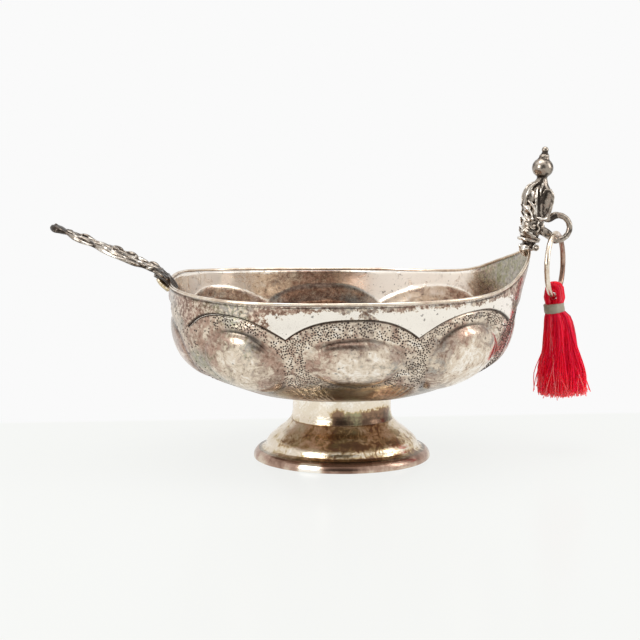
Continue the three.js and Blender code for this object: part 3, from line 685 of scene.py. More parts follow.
def plan_point(b, t, part):
    """Plan of the wall and its outward normal: a circle at the foot that becomes the rim's outline"""
    cos, sin = np.cos(t), np.sin(t)
    length = np.where(cos < 0, b.handle_length, b.prow_length)
    fullness = np.where(cos < 0, b.handle_fullness, b.prow_fullness)
    outline = np.stack([
        b.centre_x + length * signed_power(cos, 2 / fullness),
        b.half_width * signed_power(sin, 2 / fullness),
    ], -1)
    across = np.stack([
        signed_power(cos, 2 - 2 / fullness) / length, signed_power(sin, 2 - 2 / fullness) / b.half_width,
    ], -1)
    across /= np.linalg.norm(across, axis=-1, keepdims=True)
    around = np.stack([cos, sin], -1)
    blend = smoothstep(part, 0.3, 0.9)[..., None]
    point = lerp(around * b.half_width, outline, blend) * part[..., None]
    normal = lerp(around, across, blend)
    return point, normal / np.linalg.norm(normal, axis=-1, keepdims=True)


def side_curve(b, s):
    """Radius, height and slope of the round side: a cubic Bezier from upright to flat"""
    ends = np.array([
        [b.half_width, b.shoulder_height],
        [b.half_width, b.shoulder_height - b.shoulder_pull],
        [b.floor_radius + b.floor_pull, b.underside + b.floor_rise],
        [b.floor_radius, b.underside],
    ])
    s = np.asarray(s)[..., None]
    rest = 1 - s
    point = rest ** 3 * ends[0] + 3 * rest ** 2 * s * ends[1] + 3 * rest * s ** 2 * ends[2] + s ** 3 * ends[3]
    legs = np.diff(ends, axis=0)
    slope = 3 * (rest ** 2 * legs[0] + 2 * rest * s * legs[1] + s ** 2 * legs[2])
    return point[..., 0], point[..., 1], slope


def side_place(b, z):
    """Place along the side curve of a height at or below the shoulder"""
    s = np.linspace(0, 1, 600)
    heights = side_curve(b, s)[1]
    return np.interp(-z, -heights, s)


def wall_point(b, t, s, above, offset):
    """Point of the wall at a place along its side, or that far above the shoulder, moved outward"""
    radius, z, slope = side_curve(b, s)
    z = z + above
    point, normal = plan_point(b, t, radius / b.half_width)
    outward = np.stack([normal[..., 0] * -slope[..., 1], normal[..., 1] * -slope[..., 1], slope[..., 0]], -1)
    outward /= np.linalg.norm(outward, axis=-1, keepdims=True)
    base = np.stack([point[..., 0] + prow_push(b, t, z) + FOOT_X, point[..., 1], z], -1)
    return base + outward * np.asarray(offset)[..., None]


def lobe_place(b, t, z):
    """From -1 to 1 across each lobe, whose edges lean with the height"""
    lean = smoothstep(z, b.valley_height, b.boss_height)
    t = np.where(t < LOBE_EDGES[0], t + 2 * math.pi, t)
    place = np.full(np.broadcast(t, lean).shape, 2.0)
    for i in range(len(LOBE_EDGES) - 1):
        low = LOBE_EDGES[i] + LOBE_LEAN[i] * lean
        high = LOBE_EDGES[i + 1] + LOBE_LEAN[i + 1] * lean
        place = np.where((t >= low) & (t <= high), (2 * t - low - high) / (high - low), place)
    return place


def arch_line(b, t):
    across = np.abs(lobe_place(b, t, np.full_like(t, b.valley_height)))
    near_end = smoothstep(np.cos(t) ** 2, 0.1, 0.6)
    low = b.valley_height + b.valley_rise * near_end
    return lerp(low, b.arch_height + b.arch_rise * near_end, 1 - across ** b.arch_roundness)


def boss_place(b, t, across, z):
    """0 at the middle of a boss and 1 at its edge; the bosses in the middle lobes are the lowest"""
    from_side = np.abs(wrapped(t)) - 90 * DEG
    to_handle = smoothstep(from_side, 10.5 * DEG, 18.5 * DEG)
    to_prow = smoothstep(-from_side, 15 * DEG, 24 * DEG)
    half = b.boss_half_height * (0.83 + 0.2 * to_handle + 0.29 * to_prow)
    up = (z - b.boss_height) / half
    power = b.boss_fullness
    return (np.abs(across / b.boss_share) ** power + np.abs(up) ** power) ** (1 / power)


def embossing(b, t, z, crisp):
    """How far chasing moves the sheet, and where its grooves, ground, furrows and bosses are"""
    across = lobe_place(b, t, z)
    up = (z - b.boss_height) / b.boss_half_height
    below = arch_line(b, t) - z
    from_prow = wrapped(t)
    side = np.sign(np.sin(t))
    beside = b.boss_shift * side * smoothstep(np.abs(from_prow), 100 * DEG, 110 * DEG)
    beside = beside * smoothstep(np.abs(from_prow), 156 * DEG, 146 * DEG)
    to_edge = boss_place(b, t, across + beside, z)
    at_prow = bell(from_prow, 33 * DEG, 6)
    at_handle = bell(math.pi - np.abs(from_prow), 28 * DEG, 6)
    swell = b.boss_swell * lerp(1, b.prow_swell, at_prow) * lerp(1, b.handle_swell, at_handle)
    sunk = smoothstep(below, 0, lerp(1.2 * MM, 0.35 * MM, crisp))
    sunk = sunk * smoothstep(z, b.underside + 1.5 * MM, b.boss_height - b.boss_half_height)
    dome = swell * np.clip(1 - to_edge ** 2, 0, 1) ** 0.55
    thick = lerp(0.3 * MM, 0.46 * MM, bell(from_prow + 142 * DEG, 22 * DEG))
    line = bell(below - 0.12 * MM, thick, 3)
    high = smoothstep(up, -0.7, 0.45)
    # The crease over a boss is deepest on the side that faces the middle of the bowl
    facing = -across * side * np.clip((np.abs(from_prow) - 90 * DEG) / (16 * DEG), -1, 1)
    deep = smoothstep(facing, -0.5, 0.25) * smoothstep(np.abs(across), 0.78, 0.5)
    furrow = bell(to_edge - 1.075, lerp(0.03, 0.07, high * deep), 3) * sunk
    uneven = b.unevenness * (
        np.sin(7 * t + 160 * z) * np.sin(210 * z + 1.3 * np.sin(5 * t)) + 0.6 * np.sin(13 * t - 230 * z + 1)
    )
    uneven = uneven * smoothstep(z, b.underside, b.underside + 4 * MM)
    # Curved lines chased side by side where two bosses come together below
    from_valley = (1 - np.abs(across)) * 19 + 0.35 * (z - b.underside) / MM
    fan = np.clip(np.cos(from_valley * 2 * math.pi / 2.6), 0, 1) ** 2
    fan = (
        fan * smoothstep(from_valley, 10.5, 9)
        * smoothstep(z, b.underside + 0.6 * MM, b.underside + 2.2 * MM)
    )
    fan = fan * smoothstep(z, b.underside + 8.5 * MM, b.underside + 6.5 * MM) * smoothstep(to_edge, 0.95, 1.1)
    belly = b.belly * smoothstep(np.abs(np.cos(t)), 0.1, 0.6) * bell(z - 35 * MM, 9 * MM)
    moved = dome - b.ground_depth * lerp(0.4, 1, crisp) * sunk + uneven + belly
    moved = moved - crisp * (b.groove_depth * line + 0.35 * MM * high * deep * furrow + 0.22 * MM * fan)
    ground = (
        smoothstep(below, 0.5 * MM, 0.9 * MM)
        * smoothstep(to_edge, lerp(1.03, 1.15, high), lerp(1.08, 1.2, high))
    )
    ground = ground * smoothstep(z, b.underside + 6 * MM, b.underside + 11 * MM)
    # The crease's black is partly oxide in the furrow and partly painted shade, strongest over the top of
    # each boss
    crease = furrow * high * lerp(0.25, 1, deep)
    return moved, {
        "ground": ground, "line": line, "crease": crease, "edge": to_edge, "below": below, "fan": fan,
    }


def rim_line(b, t):
    """Middle of the rim wire"""
    above = rim_top(b, t) - b.wire_radius - b.shoulder_height
    return wall_point(b, t, np.zeros_like(t), above, np.full_like(t, b.wire_overhang - b.wire_radius))


def bowl_angles(step):
    angles = []
    for low, high in zip(LOBE_EDGES, LOBE_EDGES[1:]):
        count = max(4, round((high - low) / step))
        angles.append(np.linspace(low, high, count, endpoint=False))
    return np.concatenate(angles)


def wall_rows(b, t, band, lip, side):
    """Places of the rows down the wall at every angle, as side places and heights above the shoulder"""
    top, arch = wall_top(b, t), arch_line(b, t)
    heights = [lerp(top, arch + lip[0], part) for part in np.linspace(0, 1, band, endpoint=False)]
    heights += [arch + drop for drop in lip]
    z = np.stack(heights, 1)
    s = np.where(z < b.shoulder_height, side_place(b, np.minimum(z, b.shoulder_height)), 0)
    above = np.maximum(0, z - b.shoulder_height)
    first_s, first_above = s[:, -1:], above[:, -1:]
    down = np.linspace(0, 1, side + 1)[1:][None]
    s = np.concatenate([s, lerp(first_s, 1, down)], 1)
    above = np.concatenate([above, first_above * (1 - down) ** 4], 1)
    return s, above


def sheet_side(b, t, rows, offset, crisp):
    """One side of the sheet, with what its chasing marks; columns of points down to the flat floor"""
    s, above = wall_rows(b, t, *rows)
    angles = np.broadcast_to(t[:, None], s.shape)
    z = side_curve(b, s)[1] + above
    moved, marks = embossing(b, angles, z, crisp)
    points = wall_point(b, angles, s, above, moved + offset)
    return points, angles, z, marks


# Rows close above and below the arches' edge, where the sheet steps down to the ground
OUTER_LIP = [part * MM for part in (0.9, 0.6, 0.35, 0.15, 0, -0.12, -0.25, -0.4, -0.6, -0.85)]
INNER_LIP = [part * MM for part in (0.6, 0.2, -0.2, -0.7, -1.2)]
# Rows of the plain band, of the lip and of the side below it
OUTER_ROWS = (14, OUTER_LIP, 96)
INNER_ROWS = (8, INNER_LIP, 44)
COLUMN_STEP = 0.78 * DEG


def sheet_faces(columns, outer_rows, inner_rows):
    """Faces of the outside, the inside and the edge between them; the last two vertices close the floor"""
    start = columns * outer_rows
    pole = start + columns * inner_rows
    faces = quads(columns, outer_rows).tolist() + quads(columns, inner_rows, start, flip=True).tolist()
    for c in range(columns):
        beside = (c + 1) % columns
        outer, outer_beside = c * outer_rows, beside * outer_rows
        inner, inner_beside = start + c * inner_rows, start + beside * inner_rows
        faces.append([outer, outer_beside, inner_beside, inner])
        faces.append([outer + outer_rows - 1, pole, outer_beside + outer_rows - 1])
        faces.append([inner + inner_rows - 1, inner_beside + inner_rows - 1, pole + 1])
    return faces


def outside_marks(b, angles, heights, marks):
    """Where the outside is black, punched, plain, rubbed or greenish"""
    below_rim = wall_top(b, angles) - heights
    from_prow = np.abs(wrapped(angles))
    top_line = bell(below_rim - 0.25 * MM, 0.3 * MM, 3)
    half = b.boss_half_height
    low_line = smoothstep(heights, b.boss_height - 0.4 * half, b.boss_height - 0.8 * half)
    end_line = smoothstep(from_prow, 150 * DEG, 154 * DEG)
    # The lower part of each boss's outline, and the whole outline of the bosses by the handle, is drawn
    # black: partly oxide in the chased outline, partly painted shade under the bosses
    foot_line = bell(marks["edge"] - 1.06, 0.05, 3) * np.maximum(low_line, end_line)
    oxide = np.max([
        0.92 * marks["line"], 0.85 * marks["crease"], 0.75 * top_line, 0.5 * marks["fan"], 0.55 * foot_line,
    ], axis=0)
    plain = smoothstep(marks["below"], 0.2 * MM, -0.2 * MM)
    # The plain band was rubbed bright along its front, but not close under the rim
    kept_bright = smoothstep(from_prow, 122 * DEG, 100 * DEG) * smoothstep(from_prow, 20 * DEG, 40 * DEG)
    under_rim = smoothstep(below_rim, 3.4 * MM, 0.9 * MM)
    # A small stain stands on the middle arch
    down = below_rim / (wall_top(b, angles) - arch_line(b, angles))
    breadth = lerp(0.2, 4.5, smoothstep(down, 0.35, 1)) * DEG
    stain = smoothstep(np.abs(wrapped(angles) + 87.5 * DEG), 1.4 * breadth, 0.5 * breadth)
    band = 0.22 + 0.76 * kept_bright - 0.6 * under_rim - 0.6 * stain
    on_boss = 0.22 + 0.3 * smoothstep(marks["edge"], 1.0, 0.3) + 0.1 * np.cos(angles)
    on_ground = 0.4 - 0.15 * smoothstep(from_prow, 104 * DEG, 128 * DEG)
    rubbed = lerp(lerp(on_boss, on_ground, marks["ground"]), band, plain)
    # Painted shade: the outside is drawn less rubbed, and so darker, towards the underside
    rubbed = rubbed - 0.4 * smoothstep(heights, b.underside + 7 * MM, b.underside + 1 * MM)
    greenish = 0.1 + 0.4 * bell(from_prow - 135 * DEG, 26 * DEG)
    return {"oxide": oxide, "ground": marks["ground"], "plain": plain, "rubbed": rubbed, "greenish": greenish}


def inside_marks(b, angles, heights):
    """Where the inside is rubbed, milky or greenish"""
    from_prow = np.abs(wrapped(angles))
    bright = 0.6 * bell(from_prow - 132 * DEG, 26 * DEG) + 1.9 * bell(from_prow - 58 * DEG, 22 * DEG, 4)
    dull = 0.35 * bell(from_prow - 93 * DEG, 16 * DEG) + 0.45 * bell(from_prow - 14 * DEG, 20 * DEG)
    milky = 1.1 * bell(from_prow - 55 * DEG, 22 * DEG, 4) + 0.65 * bell(from_prow - 136 * DEG, 24 * DEG)
    # Under the arches the inside is drawn browner and duller: a painted dark reflection in its recessed lobes
    in_lobe = smoothstep(arch_line(b, angles) - heights, 0.1 * MM, 0.9 * MM)
    return {
        "rubbed": lerp(0.42 + bright - dull, 0.25 * bright, in_lobe),
        "milky": milky * lerp(1, 0.45, in_lobe),
        "greenish": 0.05 + 1.1 * bell(from_prow - 20 * DEG, 24 * DEG) - 0.5 * in_lobe,
    }


BOWL_MARKS = ("oxide", "ground", "plain", "rubbed", "milky", "greenish")
# How far the floor's two middle vertices are rubbed
FLOOR_RUBBED = 0.2


class BRANDYBOWL_OT_raise_bowl(bpy.types.Operator):
    """Raises and chases the bowl with its eight lobes, and wires its rim"""
    bl_idname = "brandybowl.raise_bowl"
    bl_label = "Raise the bowl"

    def execute(self, context):
        b = context.scene.bowl_form
        t = bowl_angles(COLUMN_STEP)
        outer, angles, heights, marks = sheet_side(b, t, OUTER_ROWS, 0, 1.0)
        inner, inner_angles, inner_heights, _ = sheet_side(b, t, INNER_ROWS, -b.wall, 0.0)
        middles = [[FOOT_X, 0, b.underside], [FOOT_X, 0, b.underside + b.wall]]
        vertices = np.vstack([outer.reshape(-1, 3), inner.reshape(-1, 3), middles])
        faces = sheet_faces(len(t), outer.shape[1], inner.shape[1])
        bowl = mesh_object("raised_bowl", vertices, faces, finish_of(context, "raised"))
        outside = outside_marks(b, angles, heights, marks)
        inside = inside_marks(b, inner_angles, inner_heights)
        for name in BOWL_MARKS:
            out = outside.get(name, np.zeros_like(heights))
            within = inside.get(name, np.zeros_like(inner_heights))
            floor = FLOOR_RUBBED if name == "rubbed" else 0
            vertex_values(bowl, name, np.concatenate([out.ravel(), within.ravel(), [floor, floor]]))
        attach(bowl, "vessel")
        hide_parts("bowl_body")

        around = np.linspace(0, 2 * math.pi, 480, endpoint=False)
        hammered = b.wire_fold * (1 + 0.06 * np.sin(17 * around) * np.sin(41 * around + 1))
        wire = mesh_object(
            "rim_wire_bright", *tube(rim_line(b, around), b.wire_radius * hammered, 14, closed=True),
            finish_of(context, "rubbed"),
        )
        vertex_values(wire, "age", np.full(len(wire.data.vertices), 0.42))
        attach(wire, "vessel")
        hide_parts("rim_wire")
        return {"FINISHED"}


def socket_identifier(tree, name):
    for item in tree.interface.items_tree:
        if item.item_type == "SOCKET" and item.in_out == "INPUT" and item.name == name:
            return item.identifier
    raise ValueError(f"the tree has no input named {name}")


def new_tree(name, inputs):
    """A Geometry Nodes tree with named inputs, and the node that gives them"""
    tree = bpy.data.node_groups.new(name, "GeometryNodeTree")
    for way in ("INPUT", "OUTPUT"):
        tree.interface.new_socket("Geometry", in_out=way, socket_type="NodeSocketGeometry")
    for label, kind in inputs:
        tree.interface.new_socket(label, in_out="INPUT", socket_type=kind)
    return tree, add(tree, "NodeGroupInput")


def grown(piece, tree, values, name):
    """The plain mesh that a tree makes of a piece, as a new object; the piece itself goes"""
    modifier = piece.modifiers.new("growth", "NODES")
    modifier.node_group = tree
    for label, value in values.items():
        modifier[socket_identifier(tree, label)] = value
    evaluated = piece.evaluated_get(bpy.context.evaluated_depsgraph_get())
    mesh = bpy.data.meshes.new_from_object(evaluated)
    mesh.name = name
    piece.modifiers.clear()
    plain = piece.data
    bpy.data.objects.remove(piece)
    bpy.data.meshes.remove(plain)
    result = bpy.data.objects.new(name, mesh)
    bpy.context.scene.collection.objects.link(result)
    return result


def punch_tree(material):
    """Scatters small dark pits, turned at random, over a surface as densely as its ground asks"""
    tree, start = new_tree("punched ground", [
        ("Spacing", "NodeSocketFloat"), ("Length", "NodeSocketFloat"), ("Seed", "NodeSocketInt"),
    ])
    seed = start.outputs["Seed"]
    ground = add(tree, "GeometryNodeInputNamedAttribute", {"Name": "ground"}, data_type="FLOAT")
    spread = add(tree, "GeometryNodeDistributePointsOnFaces", {
        "Mesh": start, "Distance Min": start.outputs["Spacing"], "Density Max": 12 / MM ** 2,
        "Density Factor": ground, "Seed": seed,
    }, distribute_method="POISSON")
    pit = add(tree, "GeometryNodeMeshUVSphere", {"Segments": 6, "Rings": 4, "Radius": 0.5})
    shaped = add(tree, "GeometryNodeTransform", {"Geometry": pit, "Scale": (1, 0.74, 0.24)})
    spin = add(tree, "FunctionNodeRandomValue", {
        "Max": (0, 0, 2 * math.pi), "Seed": seed,
    }, data_type="FLOAT_VECTOR")
    turned_pit = add(tree, "FunctionNodeRotateRotation", {
        "Rotation": spread.outputs["Rotation"], "Rotate By": spin,
    }, rotation_space="LOCAL")
    length = add(tree, "FunctionNodeRandomValue", {"Min": 0.7, "Max": 1.1, "Seed": seed})
    scale = add(tree, "ShaderNodeMath", (length, start.outputs["Length"]), operation="MULTIPLY")
    pits = add(tree, "GeometryNodeInstanceOnPoints", {
        "Points": spread, "Instance": shaped, "Rotation": turned_pit, "Scale": scale,
    })
    real = add(tree, "GeometryNodeRealizeInstances", {"Geometry": pits})
    dressed = add(tree, "GeometryNodeSetMaterial", {"Geometry": real, "Material": material})
    add(tree, "NodeGroupOutput", (dressed,))
    return tree


# How far the pits' middles stand off the sheet
PIT_HEIGHT = 0.015 * MM


class BRANDYBOWL_OT_punch_ground(bpy.types.Operator):
    """Punches the sunk ground between the arches and the bosses all over"""
    bl_idname = "brandybowl.punch_ground"
    bl_label = "Punch the ground"

    def execute(self, context):
        b = context.scene.bowl_form
        t = bowl_angles(COLUMN_STEP)
        outer, angles, heights, marks = sheet_side(b, t, OUTER_ROWS, PIT_HEIGHT, 1.0)
        columns, rows = outer.shape[:2]
        field = mesh_object("ground_field", outer.reshape(-1, 3), quads(columns, rows), None)
        # Towards the handle the punching was rubbed away
        kept = lerp(1, 0.1, smoothstep(np.abs(wrapped(angles)), 130 * DEG, 142 * DEG))
        patchy = 0.8 + 0.35 * np.sin(9 * angles + 400 * heights) * np.sin(23 * angles - 150 * heights)
        vertex_values(field, "ground", marks["ground"] * kept * patchy)
        tree = punch_tree(finish_of(context, "oxide"))
        values = {"Spacing": b.punch_spacing, "Length": b.punch_length, "Seed": 7}
        pits = grown(field, tree, values, "punched_ground")
        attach(pits, "vessel")
        return {"FINISHED"}


# Foot

class BRANDYBOWL_OT_turn_foot(bpy.types.Operator):
    """Turns the foot: a straight collar, a flared cone and a base ring with a nearly upright face"""
    bl_idname = "brandybowl.turn_foot"
    bl_label = "Turn the foot"

    def execute(self, context):
        f = context.scene.foot_form
        material = finish_of(context, "yellowed")
        top = context.scene.bowl_form.underside
        inside = f.collar_radius - f.collar_wall
        flare = 0.7 * MM
        collar = [
            (inside, f.collar_bottom), (f.collar_radius + flare, f.collar_bottom),
            (f.collar_radius + 0.3 * flare, f.collar_bottom + 1.4 * MM),
            (f.collar_radius, f.collar_bottom + 3 * MM), (f.collar_radius, top - 0.5 * MM),
            (f.collar_radius + 0.3 * MM, top), (inside, top),
        ]
        self.stand(
            context, "foot_collar_band", self.softened(collar, 6), material, "collar_silver", "foot_collar",
            0.02, 0.62,
        )

        rim = f.ring_radius
        seam = f.ring_height - f.seam_drop
        high = f.collar_bottom
        flank = smooth_curve([
            (rim - 1.7 * MM, seam), (rim - 2.7 * MM, seam + 0.3 * MM), (rim - 3.7 * MM, seam + 0.8 * MM),
            (rim - 4.15 * MM, seam + 1.6 * MM), (rim - 4.45 * MM, seam + 2.5 * MM),
            (rim - 5.4 * MM, seam + 3.8 * MM), (rim - 6.9 * MM, seam + 5.1 * MM),
            (rim - 8.5 * MM, seam + 6.5 * MM), (rim - 10.4 * MM, seam + 7.9 * MM),
            (f.collar_radius + flare, high),
        ], 64)
        inner = flank[::-1].copy()
        inner[:, 0] -= f.cone_wall
        self.stand(
            context, "foot_cone_flared", np.vstack([flank, inner]), material, "foot_silver", "foot_cone",
            0.5, 0.62,
        )

        within = rim - f.ring_width
        ring = [
            (within, 0), (rim - 0.15 * MM, 0), (rim, 0.25 * MM), (rim - 0.02 * MM, 0.9 * MM),
            (rim - 0.15 * MM, 1.5 * MM), (rim - 0.45 * MM, 2.1 * MM), (rim - 0.95 * MM, 2.7 * MM),
            (rim - 1.55 * MM, seam), (within, seam),
        ]
        self.stand(
            context, "foot_base_ring", self.softened(ring, 4), finish_of(context, "rubbed"), "foot_silver",
            "foot_ring", 0.95, 0.68,
        )
        return {"FINISHED"}

    def softened(self, outline, steps):
        """The outline with more points along each of its sides"""
        corners = np.asarray(outline, float)
        after = np.roll(corners, -1, 0)
        return np.concatenate([
            lerp(a, b, np.linspace(0, 1, steps, endpoint=False)[:, None]) for a, b in zip(corners, after)
        ])

    def stand(self, context, name, outline, material, slot, node, age_top, age_bottom):
        vertices, faces = turned(outline, 240)
        turn = np.arctan2(vertices[:, 1], vertices[:, 0])
        dented = 1 + 0.0016 * np.sin(5 * turn + 1) * np.sin(11 * turn) + 0.0008 * np.sin(23 * turn)
        vertices[:, :2] *= dented[:, None]
        vertices[:, 0] += FOOT_X
        piece = mesh_object(name, vertices, faces, material)
        height = vertices[:, 2]
        up = (height - height.min()) / (height.max() - height.min())
        # Painted reflection: the foot is drawn paler towards the prow and the handle, where it reflects the
        # white room; front and back keep their tarnish
        pale_ends_painted = 0.22 * (1 - np.abs(np.sin(turn)) ** 0.9)
        age = lerp(age_bottom, age_top, up) - pale_ends_painted * smoothstep(age_top + age_bottom, 0.6, 0.9)
        f = context.scene.foot_form
        seam = f.ring_height - f.seam_drop
        # Painted highlight: a paler band low on the cone, and on the base ring's face a painted bright patch
        # with a painted darker reflection just beside it
        age = age - 0.22 * bell(height - 5.4 * MM, 1.3 * MM)
        aside = np.abs(wrapped(turn))
        glint_and_dark_patch_painted = bell(aside - 116 * DEG, 7 * DEG, 4) - 0.25 * bell(aside - 98 * DEG, 9 * DEG)
        age = age - 1.1 * glint_and_dark_patch_painted * smoothstep(height, seam, seam - 0.5 * MM)
        # One old stain runs round most of the collar's front, and the rest of it was kept cleaner
        stained = smoothstep(aside, 112 * DEG, 100 * DEG) * smoothstep(aside, 8 * DEG, 30 * DEG)
        on_collar = smoothstep(height, f.collar_bottom - 0.1 * MM, f.collar_bottom + 0.1 * MM)
        age = age + on_collar * (0.5 * stained * smoothstep(up, 0.75, 0.35) - 0.2 * (1 - stained))
        vertex_values(piece, "age", age)
        # A dark line where the cone meets the base ring: dirt in the joint, and a painted dark reflection
        # along it
        dirt_and_dark_reflection = bell(height - seam - 0.05 * MM, 0.3 * MM, 4) * (0.65 + 0.2 * np.sin(3 * turn))
        vertex_values(piece, "oxide", dirt_and_dark_reflection)
        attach(piece, "vessel")
        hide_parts(node)


# Pierced handle, drawn flat: along from root to tip, across, and up; then laid on its slope

def handle_outline(h):
    """Half of the outer outline from the root to the tip"""
    long, wide = h.length, h.half_width
    return [
        (0, h.root_half_width), (0.07 * long, 0.72 * wide), (0.19 * long, 0.62 * wide),
        (0.28 * long, 0.9 * wide), (0.4 * long, wide), (0.52 * long, 0.84 * wide), (0.6 * long, 0.6 * wide),
        (0.68 * long, 0.68 * wide), (0.78 * long, 0.56 * wide), (0.85 * long, h.tip_half_width),
        (0.93 * long, 0.85 * h.tip_half_width), (long, 0),
    ]


# Openings between the scrolls: place along and across, half length and half width, and turn
OPENING_PAIRS = [
    (0.13, 0.36, 2.6, 1.7, 0.5),
    (0.36, 0.56, 3.7, 2.3, -0.35),
    (0.59, 0.3, 2.3, 1.3, 0.6),
    (0.74, 0.33, 2.1, 1.2, -0.3),
]
OPENING_MIDDLES = [(0.27, 0, 3.2, 1.7, 0), (0.5, 0, 2.4, 1.5, 0), (0.8, 0, 2.0, 0.9, 0)]


def openings(h):
    both = [(x, side * y, a, c, side * turn) for x, y, a, c, turn in OPENING_PAIRS for side in (1, -1)]
    for x, y, half_long, half_wide, turn in both + OPENING_MIDDLES:
        yield np.array([x * h.length, y * h.half_width, 0]), half_long * MM, half_wide * MM, turn


def spiral(centre, radius, turns, start, hand, lift, count=30):
    """A flat scroll that winds in towards its middle and rises there"""
    part = np.linspace(0, 1, count)
    turn = start + hand * turns * 2 * math.pi * part
    r = radius * (1 - 0.85 * part)
    return np.stack([
        centre[0] + r * np.cos(turn), centre[1] + r * np.sin(turn), centre[2] + lift * part,
    ], -1)


def ball(centre, radii, segments, rings):
    """Vertices and faces of an ellipsoid"""
    lat = np.linspace(0, math.pi, rings + 1)[1:-1]
    lon = np.arange(segments) / segments * 2 * math.pi
    grid = np.stack([
        np.outer(np.cos(lon), np.sin(lat)), np.outer(np.sin(lon), np.sin(lat)),
        np.tile(np.cos(lat), (segments, 1)),
    ], -1)
    poles = np.array([[0, 0, 1.0], [0, 0, -1.0]])
    vertices = np.vstack([grid.reshape(-1, 3), poles]) * np.asarray(radii, float) + np.asarray(centre, float)
    return vertices, closed_body(segments, rings - 1)


def handle_forms(h):
    """Rails, rings, scrolls and beads of the pierced handle, drawn flat"""
    rail = h.rail
    half = smooth_curve([(x, y - 0.9 * rail) if y > 0 else (x - rail, 0) for x, y in handle_outline(h)], 90)
    forms = []
    for side in (1, -1):
        path = np.stack([half[:, 0], side * half[:, 1], 0.15 * MM * np.sin(half[:, 0] / (1.7 * MM))], -1)
        forms.append(tube(path, rail * (0.9 + 0.25 * np.sin(np.linspace(0, 9 * math.pi, len(path)))), 10))
    for centre, half_long, half_wide, turn in openings(h):
        around = np.linspace(0, 2 * math.pi, 40, endpoint=False)
        along, across = (half_long + 0.75 * rail) * np.cos(around), (half_wide + 0.75 * rail) * np.sin(around)
        path = centre + np.stack([
            along * math.cos(turn) - across * math.sin(turn),
            along * math.sin(turn) + across * math.cos(turn),
            0.2 * MM * np.sin(2 * around),
        ], -1)
        forms.append(tube(path, rail * (0.82 + 0.16 * np.sin(3 * around)), 10, closed=True))
    for side in (1, -1):
        for x, y, radius, start, hand in [
            (0.22, 0.5, 2.4, 0.3, 1), (0.46, 0.52, 2.2, 2.0, -1), (0.5, 0.33, 1.8, 4.0, 1),
            (0.66, 0.4, 1.8, 1.0, 1), (0.06, 0.3, 1.9, 3.0, -1), (0.83, 0.14, 1.5, 2.6, 1),
        ]:
            centre = (x * h.length, side * y * h.half_width, 0.45 * MM)
            path = spiral(centre, radius * MM, 1.25, side * start, side * hand, 0.7 * MM)
            forms.append(tube(path, np.linspace(0.75, 0.5, len(path)) * MM, 8))
            forms.append(ball((centre[0], centre[1], 1.0 * MM), [0.7 * MM] * 3, 10, 7))
        for x, y, turn in [(0.1, 0.6, 0.6), (0.3, 0.78, 0.4), (0.43, 0.8, -0.5), (0.7, 0.5, -0.2)]:
            leaf = np.linspace(-1, 1, 12)
            path = np.stack([
                x * h.length + 2.6 * MM * leaf * math.cos(turn),
                side * (y * h.half_width + 2.6 * MM * leaf * math.sin(turn)),
                0.7 * MM * (1 - leaf ** 2) + 0.2 * MM,
            ], -1)
            forms.append(tube(path, 0.95 * MM * np.sqrt(1.02 - leaf ** 2), 8))
    crest = np.linspace(0.02, 0.97, 60)
    middle = np.stack([
        crest * h.length, np.zeros_like(crest), 0.25 * MM + 0.25 * MM * np.sin(crest * 26),
    ], -1)
    for low, high in [(0.0, 0.18), (0.36, 0.44), (0.56, 0.75), (0.85, 0.97)]:
        stretch = middle[(crest >= low) & (crest <= high)]
        forms.append(tube(stretch, 1.0 * MM, 10))
    tip = h.length - 4.4 * MM
    forms.append(ball((tip, 0, 0.1 * MM), (4.0 * MM, 0.8 * h.tip_half_width, 1.0 * MM), 24, 12))
    root = np.linspace(-0.92, 0.92, 24) * h.root_half_width
    for along in (0.4, 2.2):
        bar = np.stack([np.full_like(root, along * MM), root, np.full_like(root, 0.2 * MM)], -1)
        forms.append(tube(bar, 1.15 * MM, 10))
    return forms


